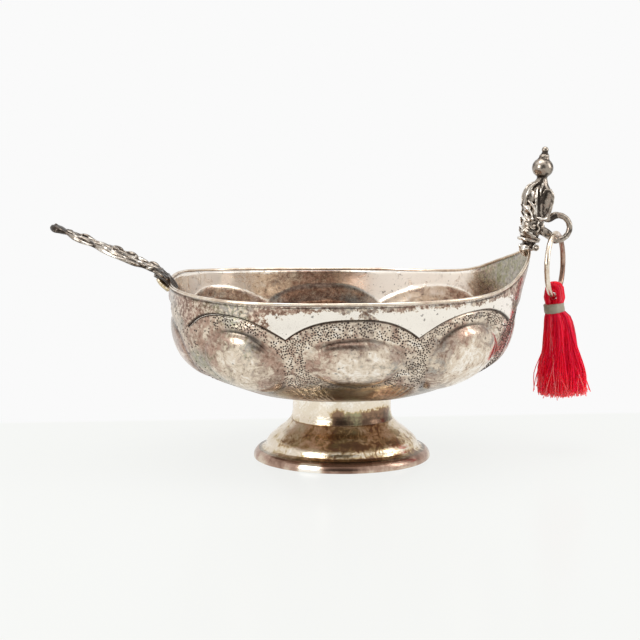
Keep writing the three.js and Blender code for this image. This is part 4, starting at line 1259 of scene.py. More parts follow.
class BRANDYBOWL_OT_cast_handle(bpy.types.Operator):
    """Casts the pierced scrollwork handle and the small tongue under its root"""
    bl_idname = "brandybowl.cast_handle"
    bl_label = "Cast the pierced handle"

    def execute(self, context):
        b, h = context.scene.bowl_form, context.scene.handle_form
        root = rim_line(b, np.array([math.pi]))[0] + np.array([
            -b.wire_radius - 0.3 * MM, 0, b.wire_radius + h.plate + 0.3 * MM + h.lift,
        ])
        vertices, faces = joined(handle_forms(h))
        along, across, up = vertices.T
        up = (0.82 + 0.5 * smoothstep(along, 0.84 * h.length, 0.92 * h.length)) * up - 0.5 * h.plate
        lean = h.slope
        placed = np.stack([
            root[0] - along * math.cos(lean) + up * math.sin(lean), across,
            root[2] + along * math.sin(lean) + up * math.cos(lean),
        ], -1)
        # Nearer the bowl the plate bends down over the rim and ends in a stem just inside it
        bent = smoothstep(placed[:, 0], root[0] - 6 * MM, root[0] + 2 * MM)
        placed[:, 2] -= 1.8 * MM * bent ** 2
        hook = smooth_curve([
            (root[0] - 3.8 * MM, 0, root[2] - 0.3 * MM), (root[0] - 1.6 * MM, 0, root[2] - 1.2 * MM),
            (root[0] + 0.6 * MM, 0, root[2] - 3.2 * MM), (root[0] + 2.4 * MM, 0, root[2] - 6.4 * MM),
        ], 20)
        forms = [(placed, faces)]
        for aside, thick in [(0, 1.7), (0.4, 1.35), (-0.4, 1.35), (0.75, 0.95), (-0.75, 0.95)]:
            strand = hook + [0, aside * h.root_half_width, 0]
            strand[:, 1] *= np.linspace(1, 0.72, len(hook))
            forms.append(tube(
                strand, thick * MM * (1 + 0.12 * np.sin(np.linspace(0, 9, len(hook)) + 5 * aside)), 12,
            ))
        for along_hook in (6, 12):
            bar = np.tile(hook[along_hook] + [0, 0, 0.9 * MM], (9, 1))
            bar[:, 1] += np.linspace(-0.8, 0.8, 9) * h.root_half_width
            forms.append(tube(bar, 0.8 * MM, 10))
        piece = mesh_object("pierced_handle_scrollwork", *joined(forms), finish_of(context, "cast"))
        cast_in_one(piece, 0.2 * MM, 3, 0.19)
        places = np.array([vertex.co.x for vertex in piece.data.vertices])
        # Oxide was left where the handle meets the bowl and at its tip, and its downward-facing surfaces are
        # drawn darker as painted shade
        tip = root[0] - h.length * math.cos(lean)
        oxide_and_underside_shade = 0.3 * smoothstep(places, root[0] - 8 * MM, root[0] + 1 * MM)
        oxide_and_underside_shade += 0.26 * smoothstep(places, tip + 8 * MM, tip + 5 * MM)
        facing_down = -np.array([vertex.normal.z for vertex in piece.data.vertices])
        oxide_and_underside_shade += 0.2 * smoothstep(facing_down, 0.1, 0.8)
        darken(piece, oxide_and_underside_shade)
        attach(piece, "vessel")
        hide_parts("pierced_handle")

        low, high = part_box("handle_lug")
        path = smooth_curve([
            (high.x + 0.9 * MM, 0, low.z + 0.9 * MM),
            (lerp(high.x, low.x, 0.4), 0, lerp(low.z, high.z, 0.45)),
            (low.x + 0.8 * MM, 0, high.z - 1.5 * MM),
        ], 16)
        shape = tube(
            path, np.linspace(1.15, 0.8, len(path)) * 3.6 * MM, 24, flatten=0.36, flat_axis=(0.5, 0, 0.87),
        )
        tongue = mesh_object("handle_tongue", *shape, finish_of(context, "yellowed"))
        vertex_values(tongue, "oxide", np.zeros(len(tongue.data.vertices)))
        vertex_values(tongue, "age", np.full(len(tongue.data.vertices), 0.56))
        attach(tongue, "vessel")
        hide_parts("handle_lug")
        return {"FINISHED"}


# Figure: drawn about the prow's rim, x towards the back, y across, z up from the rim

def oval_stack(rows, sides=36):
    """A closed body through oval sections: height, front, back and half depth of each, smoothed"""
    fine = smooth_curve(rows, 6 * len(rows))
    turn = np.arange(sides) / sides * 2 * math.pi
    height, front, back, depth = fine.T
    x = ((front + back) / 2)[None] + ((back - front) / 2)[None] * np.cos(turn)[:, None]
    y = depth[None] * np.sin(turn)[:, None]
    grid = np.stack([x, y, np.broadcast_to(height, x.shape)], -1)
    vertices = np.vstack([
        grid.reshape(-1, 3), [[(front[0] + back[0]) / 2, 0, height[0]]],
        [[(front[-1] + back[-1]) / 2, 0, height[-1]]],
    ])
    return vertices, [face[::-1] for face in closed_body(sides, len(fine))]


def figure_forms(g):
    """Forms of the draped figure in millimetres: core, head, knob, drapery, scrolls, ledge and cup"""
    forms = [oval_stack([
        (-1.6, -1.7, 2.0, 1.8), (0.1, -2.3, 2.6, 2.6), (1.4, -1.9, 2.6, 2.7), (2.7, -2.4, 3.3, 3.0),
        (4.6, -2.5, 4.2, 3.2), (7, -2.2, 4.9, 3.2), (9, -1.8, 5.6, 3.1), (10.8, -1.5, 6.6, 3.1),
        (13.5, -1.8, 7.2, 3.1), (16.6, -1.6, 8.0, 3.0), (18, -1.3, 7.9, 2.9), (19.2, -0.8, 7.4, 2.7),
        (20.6, 0.6, 6.7, 2.2), (21.8, 1.9, 6.4, 1.85), (23, 2.7, 6.2, 1.7), (24.4, 2.7, 6.5, 1.9),
    ])]
    head_z = (g.body_height + g.head_radius) / MM
    head_x = g.head_x / MM
    head = g.head_radius / MM
    forms.append(ball((head_x, 0, head_z), (head, head, 0.94 * head), 44, 28))
    around = np.linspace(0, 2 * math.pi, 48, endpoint=False)
    for up, back, radius, thick in [(2.95, 0.3, 1.95, 0.62), (3.95, 0.5, 1.75, 0.5), (4.7, 0.65, 1.25, 0.4)]:
        x = head_x + back
        ring = np.stack([
            x + (radius - thick) * np.cos(around), (radius - thick) * np.sin(around),
            np.full_like(around, head_z + up),
        ], -1)
        forms.append(tube(ring, thick * (1 + 0.1 * np.cos(8 * around)), 10, closed=True))
        forms.append(ball((x, 0, head_z + up), (radius - thick, radius - thick, thick), 20, 8))
    knob = head_x + 0.75
    forms.append(ball((knob, 0, head_z + 5.15), (0.72, 0.72, 0.6), 16, 8))
    forms.append(ball((knob, 0, head_z + 6.0), (1.2, 1.2, 1.15), 26, 16))
    for side in (1, -1):
        forms += figure_side_forms(side)
    for height, tilt, front, back, depth, thick in [
        (2.2, -0.2, -3.1, 3.3, 3.2, 0.62), (3.4, -0.3, -2.6, 3.9, 3.4, 0.4),
    ]:
        x = (front + back) / 2 + (back - front) / 2 * np.cos(around)
        ring = np.stack([x, depth * np.sin(around), height + tilt * x], -1)
        forms.append(tube(ring, thick, 10, closed=True))
    return forms


# Drapery folds on one side: points in x, y and z and the fold's thickness, in millimetres
FOLDS = [
    ([(2.6, 1.9, 21.6), (0.7, 2.6, 20.4), (-0.7, 3.0, 18.4), (-1.5, 2.9, 16.2), (-1.6, 2.7, 14.2)], 0.62),
    ([(2.4, 2.4, 19.6), (1.9, 3.6, 17.6), (1.75, 3.7, 15.2), (1.8, 3.7, 12.6), (2.1, 3.4, 10.4)], 0.5),
    ([(-1.4, 2.6, 15.8), (-0.2, 3.4, 15.0), (0.9, 3.7, 13.6), (1.4, 3.7, 12.2), (1.2, 3.6, 10.8)], 0.55),
    ([(-2.3, 1.6, 14.2), (-1.3, 2.9, 13.2), (-0.2, 3.5, 11.8), (0.5, 3.6, 10.2)], 0.5),
    ([(-2.2, 1.4, 12.0), (-1.4, 2.8, 10.9), (-0.5, 3.4, 9.8), (0.2, 3.6, 8.8)], 0.48),
    ([(-2.5, 1.3, 9.8), (-1.7, 2.7, 9.0), (-0.9, 3.2, 7.8)], 0.46),
    ([(4.4, 2.0, 21.8), (4.0, 2.9, 20.6), (3.4, 3.3, 19.0), (3.2, 3.4, 17.0)], 0.42),
    ([(7.0, 2.2, 19.4), (7.9, 2.4, 17.2), (7.7, 2.5, 14.6), (6.9, 2.6, 11.6), (6.0, 2.6, 9.6)], 0.42),
    ([(2.2, 3.4, 9.9), (3.4, 3.6, 9.5), (4.8, 3.4, 9.4), (6.0, 2.8, 9.8)], 0.5),
    ([(-2.9, 1.0, 6.6), (-2.0, 2.8, 5.8), (-0.6, 3.6, 5.0), (0.8, 3.8, 4.4)], 0.42),
    ([(-2.8, 1.2, 5.4), (-1.6, 3.0, 4.7), (0.2, 3.6, 4.0), (2.0, 3.5, 3.4)], 0.4),
    ([(4.9, 2.6, 8.2), (4.2, 3.2, 6.8), (4.6, 3.0, 5.2), (4.0, 3.0, 4.2)], 0.42),
    ([(3.0, 3.5, 8.6), (2.4, 3.8, 7.4), (2.9, 3.8, 6.0), (2.2, 3.7, 4.8)], 0.4),
]
# Scrolls on one side: x, z, radius, starting turn and hand
SCROLLS = [
    (1.1, 7.0, 1.5, 0.4, 1), (-1.3, 7.6, 1.1, 2.4, -1), (3.9, 6.6, 1.2, 3.6, -1), (0.5, 9.4, 0.85, 1.2, 1),
    (-1.5, 5.4, 0.9, 5.0, -1),
]


def figure_side_forms(side):
    """What shows on one side: back panel with its border, arm, folds, scrolls, rosette, cup and leaf"""
    forms = []
    around = np.linspace(0, 2 * math.pi, 56, endpoint=False)
    long = np.array([0.15, 0, 1.0])
    wide = np.array([1.0, 0, -0.15])
    centre = np.array([5.3, side * 2.75, 14.4])
    breadth = 1.62 + 0.32 * np.sin(around)
    border = (
        centre + 4.75 * np.sin(around)[:, None] * long
        + (breadth * signed_power(np.cos(around), 0.7))[:, None] * wide
    )
    border[:, 1] = side * (3.0 - 0.06 * (border[:, 0] - 4.6) ** 2)
    forms.append(tube(border, 0.4, 10, closed=True, flat_axis=(0, 1, 0)))
    part = np.linspace(-1, 1, 24)
    spine = centre + 4.3 * part[:, None] * long
    forms.append(tube(
        spine, (1.3 + 0.3 * part) * np.sqrt(1.03 - part ** 4), 18, flatten=0.42, flat_axis=(0, side, 0),
    ))
    forms.append(ball((0.2, side * 2.3, 16.6), (1.75, 1.5, 2.7), 20, 12))
    forms.append(ball((-0.6, side * 2.3, 12.6), (1.3, 1.3, 1.8), 16, 10))
    for points, thick in FOLDS:
        path = smooth_curve([(x, side * y, z) for x, y, z in points], 28)
        taper = np.sin(np.linspace(0.3, math.pi - 0.3, len(path))) ** 0.5
        forms.append(tube(path, thick * taper, 10, flat_axis=(1, 0, 0.2)))
    for x, z, radius, start, hand in SCROLLS:
        swirl = spiral((x, z, 0), radius, 1.35, start, hand, 0, 28)
        depth = 3.2 + 0.8 * np.linspace(0, 1, len(swirl)) - 0.14 * np.abs(swirl[:, 0])
        path = np.stack([swirl[:, 0], side * depth, swirl[:, 1]], -1)
        forms.append(tube(path, np.linspace(0.46, 0.32, len(path)), 8, flat_axis=(0, 1, 0)))
        forms.append(ball((x, side * (4.0 - 0.14 * abs(x)), z), (0.45, 0.45, 0.45), 10, 8))
    rosette_x, rosette_z = 2.0, -0.3
    forms.append(ball((rosette_x, side * 2.9, rosette_z), (1.15, 0.9, 1.15), 20, 12))
    ring = np.stack([
        rosette_x + 0.95 * np.cos(around), np.full_like(around, side * 3.5),
        rosette_z + 0.95 * np.sin(around),
    ], -1)
    forms.append(tube(ring, 0.28, 8, closed=True, flat_axis=(0, 1, 0)))
    forms.append(ball((rosette_x, side * 3.75, rosette_z), (0.4, 0.4, 0.4), 12, 8))
    forms.append(ball((-1.1, side * 1.9, -0.4), (1.7, 1.6, 1.5), 20, 12))
    forms.append(ball((-2.5, side * 1.2, 0.2), (0.6, 0.6, 0.6), 12, 8))
    down = np.linspace(0, 1, 18)
    leaf = np.stack([-1.3 + 0.9 * down, side * (2.6 - 1.2 * down ** 2), -0.6 - 3.2 * down], -1)
    forms.append(tube(
        leaf, 1.5 * np.sqrt(np.clip(1 - down ** 1.5, 0.01, 1)), 14, flatten=0.5, flat_axis=(0, side, 0),
    ))
    return forms


class BRANDYBOWL_OT_cast_figure(bpy.types.Operator):
    """Casts the draped figure with its ball head, and solders the wire loop to its back"""
    bl_idname = "brandybowl.cast_figure"
    bl_label = "Cast the figure"

    def execute(self, context):
        b, g = context.scene.bowl_form, context.scene.figure_form
        tip = rim_line(b, np.array([0.0]))[0]
        foot = np.array([tip[0], 0, tip[2] + b.wire_radius])
        vertices, faces = joined(figure_forms(g))
        piece = mesh_object("draped_figure", vertices * MM + foot, faces, finish_of(context, "cast"))
        cast_in_one(piece, 0.16 * MM, 14, 0.0)
        # The head and its knob are drawn darker than the dress
        heights = np.array([vertex.co.z for vertex in piece.data.vertices]) - foot[2]
        darken(piece, 0.16 * smoothstep(heights, g.body_height - 1 * MM, g.body_height + 1 * MM))
        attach(piece, "vessel")
        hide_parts("figure_handle")

        centre = foot + np.array([g.loop_out, 0, g.loop_up])
        turn = np.linspace(122, -122, 60) * DEG
        arc = centre + g.loop_radius * np.stack([np.cos(turn), np.zeros_like(turn), np.sin(turn)], -1)
        upper = foot + np.array([[5.6 * MM, 0, g.loop_up + 3.6 * MM], [6.9 * MM, 0, g.loop_up + 3.1 * MM]])
        lower = foot + np.array([[6.6 * MM, 0, g.loop_up - 2.1 * MM], [4.0 * MM, 0, g.loop_up - 0.6 * MM]])
        path = smooth_curve(np.vstack([upper, arc[4:-4:3], lower]), 90)
        along = np.linspace(0, 1, len(path))
        thick = (
            g.loop_wire
            * (1 + 0.45 * bell(along, 0.13) + 0.55 * bell(1 - along, 0.14) + 0.03 * np.sin(60 * along))
        )
        wire_points, wire_faces = tube(path, thick, 20, flat_axis=(0, 1, 0))
        wire = mesh_object("figure_loop_wire", wire_points, wire_faces, finish_of(context, "cast"))
        from_middle = np.linalg.norm(wire_points[:, [0, 2]] - centre[[0, 2]], axis=1)
        inner_half = smoothstep(
            from_middle, g.loop_radius + 0.5 * g.loop_wire, g.loop_radius - 0.5 * g.loop_wire,
        )
        vertex_values(wire, "hollow", 0.42 + 0.12 * inner_half)
        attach(wire, "vessel")
        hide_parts("figure_loop")
        return {"FINISHED"}


# Ring and tassel

def ring_middle():
    low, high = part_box("hanging_ring")
    return np.array((low + high) / 2)


class BRANDYBOWL_OT_hang_ring(bpy.types.Operator):
    """Hangs the plain wire ring in the figure's loop"""
    bl_idname = "brandybowl.hang_ring"
    bl_label = "Hang the ring"

    def execute(self, context):
        s = context.scene.tassel_form
        around = np.linspace(0, 2 * math.pi, 200, endpoint=False)
        plane = np.array([math.sin(s.ring_turn), math.cos(s.ring_turn), 0])
        centre = ring_middle()
        path = (
            centre
            + s.ring_radius * (
                np.cos(around)[:, None] * plane + np.sin(around)[:, None] * np.array([0, 0, 1])
            )
        )
        drawn = s.ring_wire * (1 + 0.02 * np.sin(9 * around) + 0.015 * np.sin(23 * around + 2))
        vertices, faces = tube(path, drawn, 22, closed=True, flat_axis=(plane[1], -plane[0], 0))
        ring = mesh_object("hanging_ring_wire", vertices, faces, finish_of(context, "rubbed"))
        # The ring is drawn darker on its far half
        vertex_values(ring, "age", 0.46 + 0.45 * smoothstep(vertices[:, 1], 0, 4 * MM))
        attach(ring, "ring")
        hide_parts("hanging_ring")
        return {"FINISHED"}


# What is left to chance for each thread
THREAD_CHANCES = ("turn", "depth", "shade", "slack", "stray")
# Steps of a sum: what comes out, the operation, and what it works on
SHADE_STEPS = [
    # Threads that lie together also share part of their shade
    ("lock", "MULTIPLY", "turn", 14 * math.pi),
    ("lock", "SINE", "lock"),
    ("shared", "MULTIPLY_ADD", "lock", 0.24, 0.22),
    ("shade", "MULTIPLY_ADD", "shade", 0.55, "shared"),
]


def chances(tree):
    """The nodes that read what was left to chance for each thread, by name"""
    return {
        name: add(tree, "GeometryNodeInputNamedAttribute", {"Name": name}, data_type="FLOAT")
        for name in THREAD_CHANCES
    }


def worked_out(tree, known, steps):
    """Adds a node for each step of a sum to the values known by name"""
    for name, operation, *parts in steps:
        values = [known.get(part, part) for part in parts]
        known[name] = add(tree, "ShaderNodeMath", values, operation=operation)
    return known


def thread_tree(material, place):
    """Threads along a path that the given function draws from each thread's own random numbers; ends
    in plain mesh tubes that carry each thread's shade"""
    tree, start = new_tree("threads", [
        ("Count", "NodeSocketInt"), ("Thread radius", "NodeSocketFloat"), ("Seed", "NodeSocketInt"),
        ("Radius", "NodeSocketFloat"), ("Length", "NodeSocketFloat"), ("Lean", "NodeSocketFloat"),
    ])
    geometry = add(tree, "GeometryNodePoints", {"Count": start.outputs["Count"]})
    for offset, name in enumerate(THREAD_CHANCES):
        seed = add(tree, "ShaderNodeMath", (start.outputs["Seed"], offset), operation="ADD")
        value = add(tree, "FunctionNodeRandomValue", {"Seed": seed})
        geometry = add(tree, "GeometryNodeStoreNamedAttribute", {
            "Geometry": geometry, "Name": name, "Value": value,
        }, data_type="FLOAT", domain="POINT")
    known = worked_out(tree, chances(tree), SHADE_STEPS)
    geometry = add(tree, "GeometryNodeStoreNamedAttribute", {
        "Geometry": geometry, "Name": "shade", "Value": known["shade"],
    }, data_type="FLOAT", domain="POINT")
    line = add(tree, "GeometryNodeCurvePrimitiveLine", {"End": (0, 0, -1)})
    fine = add(tree, "GeometryNodeResampleCurve", {"Curve": line, "Count": 14})
    copies = add(tree, "GeometryNodeInstanceOnPoints", {"Points": geometry, "Instance": fine})
    real = add(tree, "GeometryNodeRealizeInstances", {"Geometry": copies})
    moved = add(tree, "GeometryNodeSetPosition", {"Geometry": real, "Position": place(tree, start)})
    section = add(tree, "GeometryNodeCurvePrimitiveCircle", {
        "Resolution": 3, "Radius": start.outputs["Thread radius"],
    })
    tubes = add(tree, "GeometryNodeCurveToMesh", {
        "Curve": moved, "Profile Curve": section, "Fill Caps": True,
    })
    whole = add(tree, "GeometryNodeRealizeInstances", {"Geometry": tubes})
    dressed = add(tree, "GeometryNodeSetMaterial", {"Geometry": whole, "Material": material})
    add(tree, "NodeGroupOutput", (dressed,))
    return tree


# Reach of the skirt as a share of its radius, from the band down to the ends
SKIRT_PROFILE = [
    (0, 0.34), (0.05, 0.48), (0.14, 0.58), (0.3, 0.66), (0.46, 0.73), (0.62, 0.86), (0.8, 1.0), (1, 1.0),
]
SKIRT_STEPS = [
    ("turn", "MULTIPLY", "turn", 2 * math.pi),
    ("depth", "POWER", "depth", 0.36),
    ("slack", "SUBTRACT", "slack", 0.5),
    # Threads gather into locks, and each lock drifts round the skirt as it falls
    ("lock", "MULTIPLY", "turn", 9),
    ("lock", "MULTIPLY_ADD", "depth", 5, "lock"),
    ("lock", "SINE", "lock"),
    ("drift", "MULTIPLY", "turn", 2),
    ("drift", "MULTIPLY_ADD", "depth", 9, "drift"),
    ("drift", "SINE", "drift"),
    ("turn", "MULTIPLY_ADD", "lock", 0.09, "turn"),
    ("swirl", "MULTIPLY_ADD", "loose", 3, 1.1),
    ("swirl", "MULTIPLY", "swirl", "slack"),
    ("swirl", "MULTIPLY_ADD", "drift", 0.6, "swirl"),
    ("turn", "MULTIPLY_ADD", "swirl", "along", "turn"),
    # A few stray threads stand far out at their ends
    ("stray", "POWER", "stray", 26),
    ("flung", "POWER", "along", 3),
    ("flung", "MULTIPLY", "flung", 0.5),
    ("out", "MULTIPLY_ADD", "stray", "flung", "profile"),
    ("fuller", "MULTIPLY_ADD", "lock", 0.06, 1),
    ("fuller", "MULTIPLY_ADD", "loose", 0.05, "fuller"),
    ("out", "MULTIPLY", "out", "fuller"),
    ("out", "MULTIPLY", "out", "depth"),
    ("out", "MULTIPLY", "out", "radius"),
    ("wave", "MULTIPLY", "along", 8),
    ("wave", "MULTIPLY_ADD", "slack", 40, "wave"),
    ("wave", "SINE", "wave"),
    ("out", "MULTIPLY_ADD", "wave", 0.2 * MM, "out"),
    ("x", "COSINE", "turn"),
    ("x", "MULTIPLY", "x", "out"),
    ("leant", "POWER", "along", 0.5),
    ("x", "MULTIPLY_ADD", "leant", "lean", "x"),
    ("y", "SINE", "turn"),
    ("y", "MULTIPLY", "y", "out"),
    # The threads were cut a little unevenly
    ("z", "MULTIPLY_ADD", "shade", -0.12, -0.88),
    ("z", "MULTIPLY", "z", "along"),
    ("z", "MULTIPLY", "z", "length"),
]


def skirt_place(tree, start):
    """Place of a hanging thread's point: out along the skirt's profile and down, in locks that cross"""
    along = add(tree, "GeometryNodeSplineParameter").outputs["Factor"]
    profile = add(tree, "ShaderNodeFloatCurve", {"Value": along})
    curve = profile.mapping.curves[0]
    curve.points[0].location = SKIRT_PROFILE[0]
    curve.points[1].location = SKIRT_PROFILE[-1]
    for x, y in SKIRT_PROFILE[1:-1]:
        curve.points.new(x, y)
    profile.mapping.update()
    known = chances(tree)
    for name in ("radius", "length", "lean"):
        known[name] = start.outputs[name.capitalize()]
    known["along"] = along
    known["profile"] = profile
    known["loose"] = add(
        tree, "ShaderNodeMapRange", (known["stray"], 0.9, 0.95), interpolation_type="SMOOTHSTEP"
    )
    worked_out(tree, known, SKIRT_STEPS)
    return add(tree, "ShaderNodeCombineXYZ", [known[axis] for axis in "xyz"])


HEAD_THREADS = 230
FILLING_THREADS = 110


class BRANDYBOWL_OT_tie_tassel(bpy.types.Operator):
    """Loops the red threads over the ring, binds them with tape and lets them hang"""
    bl_idname = "brandybowl.tie_tassel"
    bl_label = "Tie the tassel"

    def execute(self, context):
        s = context.scene.tassel_form
        middle = ring_middle()
        ring_bottom = middle[2] - s.ring_radius
        band_top = ring_bottom - s.band_drop
        band_bottom = band_top - s.band_height
        self.hang_skirt(context, s, Vector((middle[0] + 0.3 * MM, middle[1], band_bottom + 0.8 * MM)))
        self.bind(context, s, middle, (band_top + band_bottom) / 2)
        self.loop_head(context, s, middle, ring_bottom, band_top)
        return {"FINISHED"}

    def hang_skirt(self, context, s, top):
        seed_point = mesh_object("skirt_seed", [(0, 0, 0)], [], None)
        tree = thread_tree(finish_of(context, "thread"), skirt_place)
        skirt = grown(seed_point, tree, {
            "Count": s.threads, "Thread radius": s.thread_radius, "Seed": 3, "Radius": s.skirt_radius,
            "Length": s.skirt_length, "Lean": s.lean,
        }, "tassel_skirt_threads")
        for vertex in skirt.data.vertices:
            vertex.co += top
        skirt.data.shade_smooth()
        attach(skirt, "tassel")
        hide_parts("tassel_skirt")

    def bind(self, context, s, middle, height):
        inner, outer, half = s.neck_radius - 0.5 * MM, s.neck_radius + 0.55 * MM, s.band_height / 2
        outline = np.array([
            (inner, -half), (outer - 0.25 * MM, -half - 0.05 * MM), (outer, -half + 0.2 * MM),
            (outer + 0.06 * MM, -0.2 * half), (outer - 0.03 * MM, 0.15 * half),
            (outer + 0.03 * MM, half - 0.25 * MM), (outer - 0.2 * MM, half), (inner, half),
        ])
        vertices, faces = turned(outline, 72)
        turn = np.arctan2(vertices[:, 1], vertices[:, 0])
        vertices[:, :2] *= (1 + 0.025 * np.sin(3 * turn + 0.6) + 0.012 * np.sin(7 * turn))[:, None]
        lean = -s.band_tilt
        x, y, z = vertices.T
        placed = np.stack([
            x * math.cos(lean) + z * math.sin(lean), y, z * math.cos(lean) - x * math.sin(lean),
        ], -1)
        band = mesh_object(
            "tassel_band_tape", placed + np.array([middle[0], middle[1], height]), faces,
            finish_of(context, "tape"),
        )
        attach(band, "tassel")
        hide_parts("tassel_band")

    def loop_head(self, context, s, middle, ring_bottom, band_top):
        """Threads that rise out of the band on one side of the ring's wire and come down on the other"""
        rng = np.random.default_rng(11)
        along_ring = np.array([math.sin(s.ring_turn), math.cos(s.ring_turn), 0])
        across = np.array([along_ring[1], -along_ring[0], 0])
        parts, shades = [], []
        low = band_top - 1.2 * MM
        for _ in range(HEAD_THREADS):
            offset = rng.uniform(-1, 1)
            side_place = offset * 2.7 * MM
            # The ring's wire rises to both sides of its lowest point
            clear = s.ring_wire + 0.4 * MM + side_place ** 2 / (2 * s.ring_radius)
            layer = rng.uniform(0, 1) ** 0.6
            reach = lerp(clear, s.head_half_width, layer) * math.sqrt(1 - 0.55 * offset ** 2)
            reach = max(reach, clear)
            crown = (
                ring_bottom + lerp(clear, s.ring_wire + s.head_height, layer)
                - 1.5 * MM * offset ** 2 * layer
            )
            foot_reach = lerp(0.15 * MM, 0.88 * s.neck_radius * math.sqrt(1 - 0.6 * offset ** 2), layer)
            part = np.linspace(-1, 1, 17)
            sideways = reach * np.sign(part) * np.minimum(1, np.abs(part) * 2.1) ** 0.8
            gather = smoothstep(np.abs(part), 0.45, 1)
            sideways = lerp(sideways, np.sign(part) * foot_reach, gather)
            rise = np.sqrt(np.clip(1 - (np.minimum(1, np.abs(part) * 2.0)) ** 2, 0, 1))
            shoulder = lerp(ring_bottom, crown, rise)
            height = lerp(shoulder, low, smoothstep(np.abs(part), 0.35, 1))
            fan = side_place * lerp(1.0, 0.8, gather)
            wander = 0.12 * MM * np.sin(part * 5 + rng.uniform(0, 6))
            path = middle * [1, 1, 0] + sideways[:, None] * across + (fan + wander)[:, None] * along_ring
            path[:, 2] += height
            points, faces = tube(path, s.thread_radius, 5, flat_axis=tuple(along_ring))
            parts.append((points, faces))
            shades.append(np.full(len(points), rng.uniform(0.15, 1)))
        # Short threads fill the bundle between the band and the ring's wire
        for out, aside in rng.uniform(-1, 1, (FILLING_THREADS, 2)) * (1.7 * MM, 2.3 * MM):
            foot = middle * [1, 1, 0] + out * across + aside * along_ring
            wire_rise = aside ** 2 / (2 * s.ring_radius)
            top = ring_bottom - s.ring_wire - 0.3 * MM + 0.5 * wire_rise
            path = np.linspace(foot + [0, 0, low], foot + [0, 0, top], 5)
            points, faces = tube(path, s.thread_radius, 5, flat_axis=tuple(along_ring))
            parts.append((points, faces))
            shades.append(np.full(len(points), rng.uniform(0.1, 0.6)))
        vertices, faces = joined(parts)
        head = mesh_object("tassel_head_threads", vertices, faces, finish_of(context, "thread"))
        vertex_values(head, "shade", np.concatenate(shades))
        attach(head, "tassel")
        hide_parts("tassel_loop")


# Stage

CAMERA_PLACE = (FOOT_X - 54.5 * MM, -551.4 * MM, 117.2 * MM)
CAMERA_FORWARD = (0.0844, 0.9883, -0.1271)
CAMERA_LENS = 93.5
TABLE_EDGE_Y = 68 * MM
TABLE_REACH = 3.0
DIM_DIRECTION = (-0.1, -0.99, 0.1)
LAMP_TARGET = (0, 0, 0.04)


def lamp(name, place, target, width, height, watts):
    light = bpy.data.lights.new(name, "AREA")
    light.shape = "RECTANGLE"
    light.size, light.size_y = width, height
    light.energy = watts
    holder = bpy.data.objects.new(name, light)
    holder.location = place
    holder.rotation_euler = (Vector(target) - Vector(place)).to_track_quat("-Z", "Y").to_euler()
    bpy.context.scene.collection.objects.link(holder)


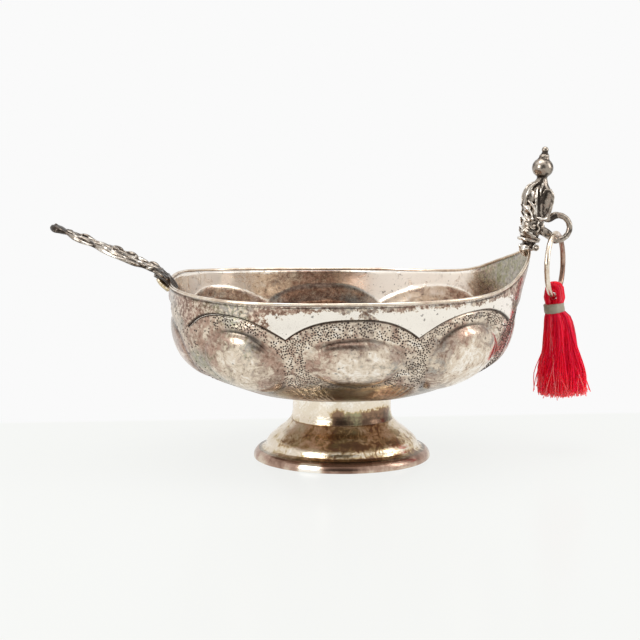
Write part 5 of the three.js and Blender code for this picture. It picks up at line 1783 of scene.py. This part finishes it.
class BRANDYBOWL_OT_set_stage(bpy.types.Operator):
    """Sets the pale table, the white surroundings, the soft lamps and the camera"""
    bl_idname = "brandybowl.set_stage"
    bl_label = "Set the stage"

    def execute(self, context):
        finish = context.scene.bowl_finish
        material, tree, place = new_material("pale table")
        depth = add(tree, "ShaderNodeSeparateXYZ", (place,)).outputs["Y"]
        edge = (TABLE_EDGE_Y - 3 * MM, TABLE_EDGE_Y + 4 * MM)
        surface = layered(tree, finish.floor, (depth, *edge, 1, linear("#ffffff")))
        tone = layered(
            tree, linear("#f3f4f2"), (depth, -0.25, -0.05, 1, linear("#f4f5f3")),
            (depth, *edge, 1, linear("#fafafa")),
        )
        shader = add(tree, "ShaderNodeBsdfPrincipled", {"Base Color": surface, "Roughness": 0.22})
        glow = add(tree, "ShaderNodeEmission", {"Color": tone, "Strength": 1})
        beyond = add(tree, "ShaderNodeMapRange", (depth, *edge), interpolation_type="SMOOTHSTEP")
        lift = add(tree, "ShaderNodeMapRange", (beyond, 0, 1, 0.88, 1), interpolation_type="SMOOTHSTEP")
        rays = add(tree, "ShaderNodeLightPath").outputs
        seen = add(
            tree, "ShaderNodeMath", (rays["Is Camera Ray"], rays["Is Glossy Ray"]), operation="MAXIMUM",
        )
        part = add(tree, "ShaderNodeMath", (seen, lift), operation="MULTIPLY")
        blend = add(tree, "ShaderNodeMixShader", (part, shader, glow))
        add(tree, "ShaderNodeOutputMaterial", (blend,))
        corners = [(-TABLE_REACH, -TABLE_REACH, 0), (TABLE_REACH, -TABLE_REACH, 0)]
        corners += [(TABLE_REACH, TABLE_REACH, 0), (-TABLE_REACH, TABLE_REACH, 0)]
        floor = mesh_object("pale_floor", corners, [(0, 1, 2, 3)], material)

        world = bpy.data.worlds.new("white surroundings")
        context.scene.world = world
        world.use_nodes = True
        tree = world.node_tree
        tree.nodes.clear()
        direction = add(tree, "ShaderNodeTexCoord").outputs["Generated"]
        # A white room with a dim patch in front of the bowl
        upright = add(tree, "ShaderNodeVectorMath", (direction, (1, 1, 0.55)), operation="MULTIPLY")
        aim = add(tree, "ShaderNodeVectorMath", (upright,), operation="NORMALIZE")
        toward = add(tree, "ShaderNodeVectorMath", (aim, DIM_DIRECTION), operation="DOT_PRODUCT")
        dim = add(tree, "ShaderNodeMapRange", (toward, 0.86, 0.98), interpolation_type="SMOOTHSTEP")
        walls = add(tree, "ShaderNodeMath", (dim, -0.68, 0.86), operation="MULTIPLY_ADD")
        height = add(tree, "ShaderNodeSeparateXYZ", (direction,)).outputs["Z"]
        overhead = add(
            tree, "ShaderNodeMapRange", (height, 0.45, 0.95, 0, 0.35), interpolation_type="SMOOTHSTEP",
        )
        level = add(tree, "ShaderNodeMath", (walls, overhead), operation="ADD")
        room = add(tree, "ShaderNodeBackground", {"Color": linear("#fdfcfa"), "Strength": level})
        white = add(tree, "ShaderNodeBackground", {"Color": linear("#fafafa"), "Strength": 1})
        seen = add(tree, "ShaderNodeLightPath").outputs["Is Camera Ray"]
        both = add(tree, "ShaderNodeMixShader", (seen, room, white))
        add(tree, "ShaderNodeOutputWorld", (both,))

        lamp("overhead softbox", (0.0, 0.0, 0.75), LAMP_TARGET, 0.6, 0.5, 2.0)
        lamp("left softbox", (-0.5, -0.4, 0.3), LAMP_TARGET, 0.22, 0.4, 1.6)
        lamp("right softbox", (0.6, -0.15, 0.3), LAMP_TARGET, 0.22, 0.4, 0.8)

        camera = bpy.data.cameras.new("photo angle")
        camera.lens = CAMERA_LENS
        camera.sensor_width = 36
        camera.clip_start = 0.01
        holder = bpy.data.objects.new("photo angle", camera)
        holder.location = CAMERA_PLACE
        holder.rotation_euler = Vector(CAMERA_FORWARD).to_track_quat("-Z", "Y").to_euler()
        context.scene.collection.objects.link(holder)
        context.scene.camera = holder
        context.scene.view_settings.view_transform = "Standard"
        return {"FINISHED"}


class BRANDYBOWL_PT_panel(bpy.types.Panel):
    """Lists the steps that build the bowl"""
    bl_idname = "BRANDYBOWL_PT_panel"
    bl_label = "Brandy bowl"
    bl_space_type = "VIEW_3D"
    bl_region_type = "UI"
    bl_category = "Brandy bowl"

    def draw(self, context):
        for step in STEPS:
            self.layout.operator(step.bl_idname)


STEPS = [
    BRANDYBOWL_OT_set_stage,
    BRANDYBOWL_OT_raise_bowl,
    BRANDYBOWL_OT_punch_ground,
    BRANDYBOWL_OT_turn_foot,
    BRANDYBOWL_OT_cast_handle,
    BRANDYBOWL_OT_cast_figure,
    BRANDYBOWL_OT_hang_ring,
    BRANDYBOWL_OT_tie_tassel,
]
CLASSES = [*SETTINGS.values(), *STEPS, BRANDYBOWL_PT_panel]


def register():
    for item in CLASSES:
        bpy.utils.register_class(item)
    for name, group in SETTINGS.items():
        setattr(bpy.types.Scene, name, PointerProperty(type=group))


def unregister():
    for name in SETTINGS:
        delattr(bpy.types.Scene, name)
    for item in reversed(CLASSES):
        bpy.utils.unregister_class(item)


def main():
    register()
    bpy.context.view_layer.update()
    bpy.ops.brandybowl.set_stage()
    bpy.ops.brandybowl.raise_bowl()
    bpy.ops.brandybowl.punch_ground()
    bpy.ops.brandybowl.turn_foot()
    bpy.ops.brandybowl.cast_handle()
    bpy.ops.brandybowl.cast_figure()
    bpy.ops.brandybowl.hang_ring()
    bpy.ops.brandybowl.tie_tassel()


if __name__ == "__main__":
    main()
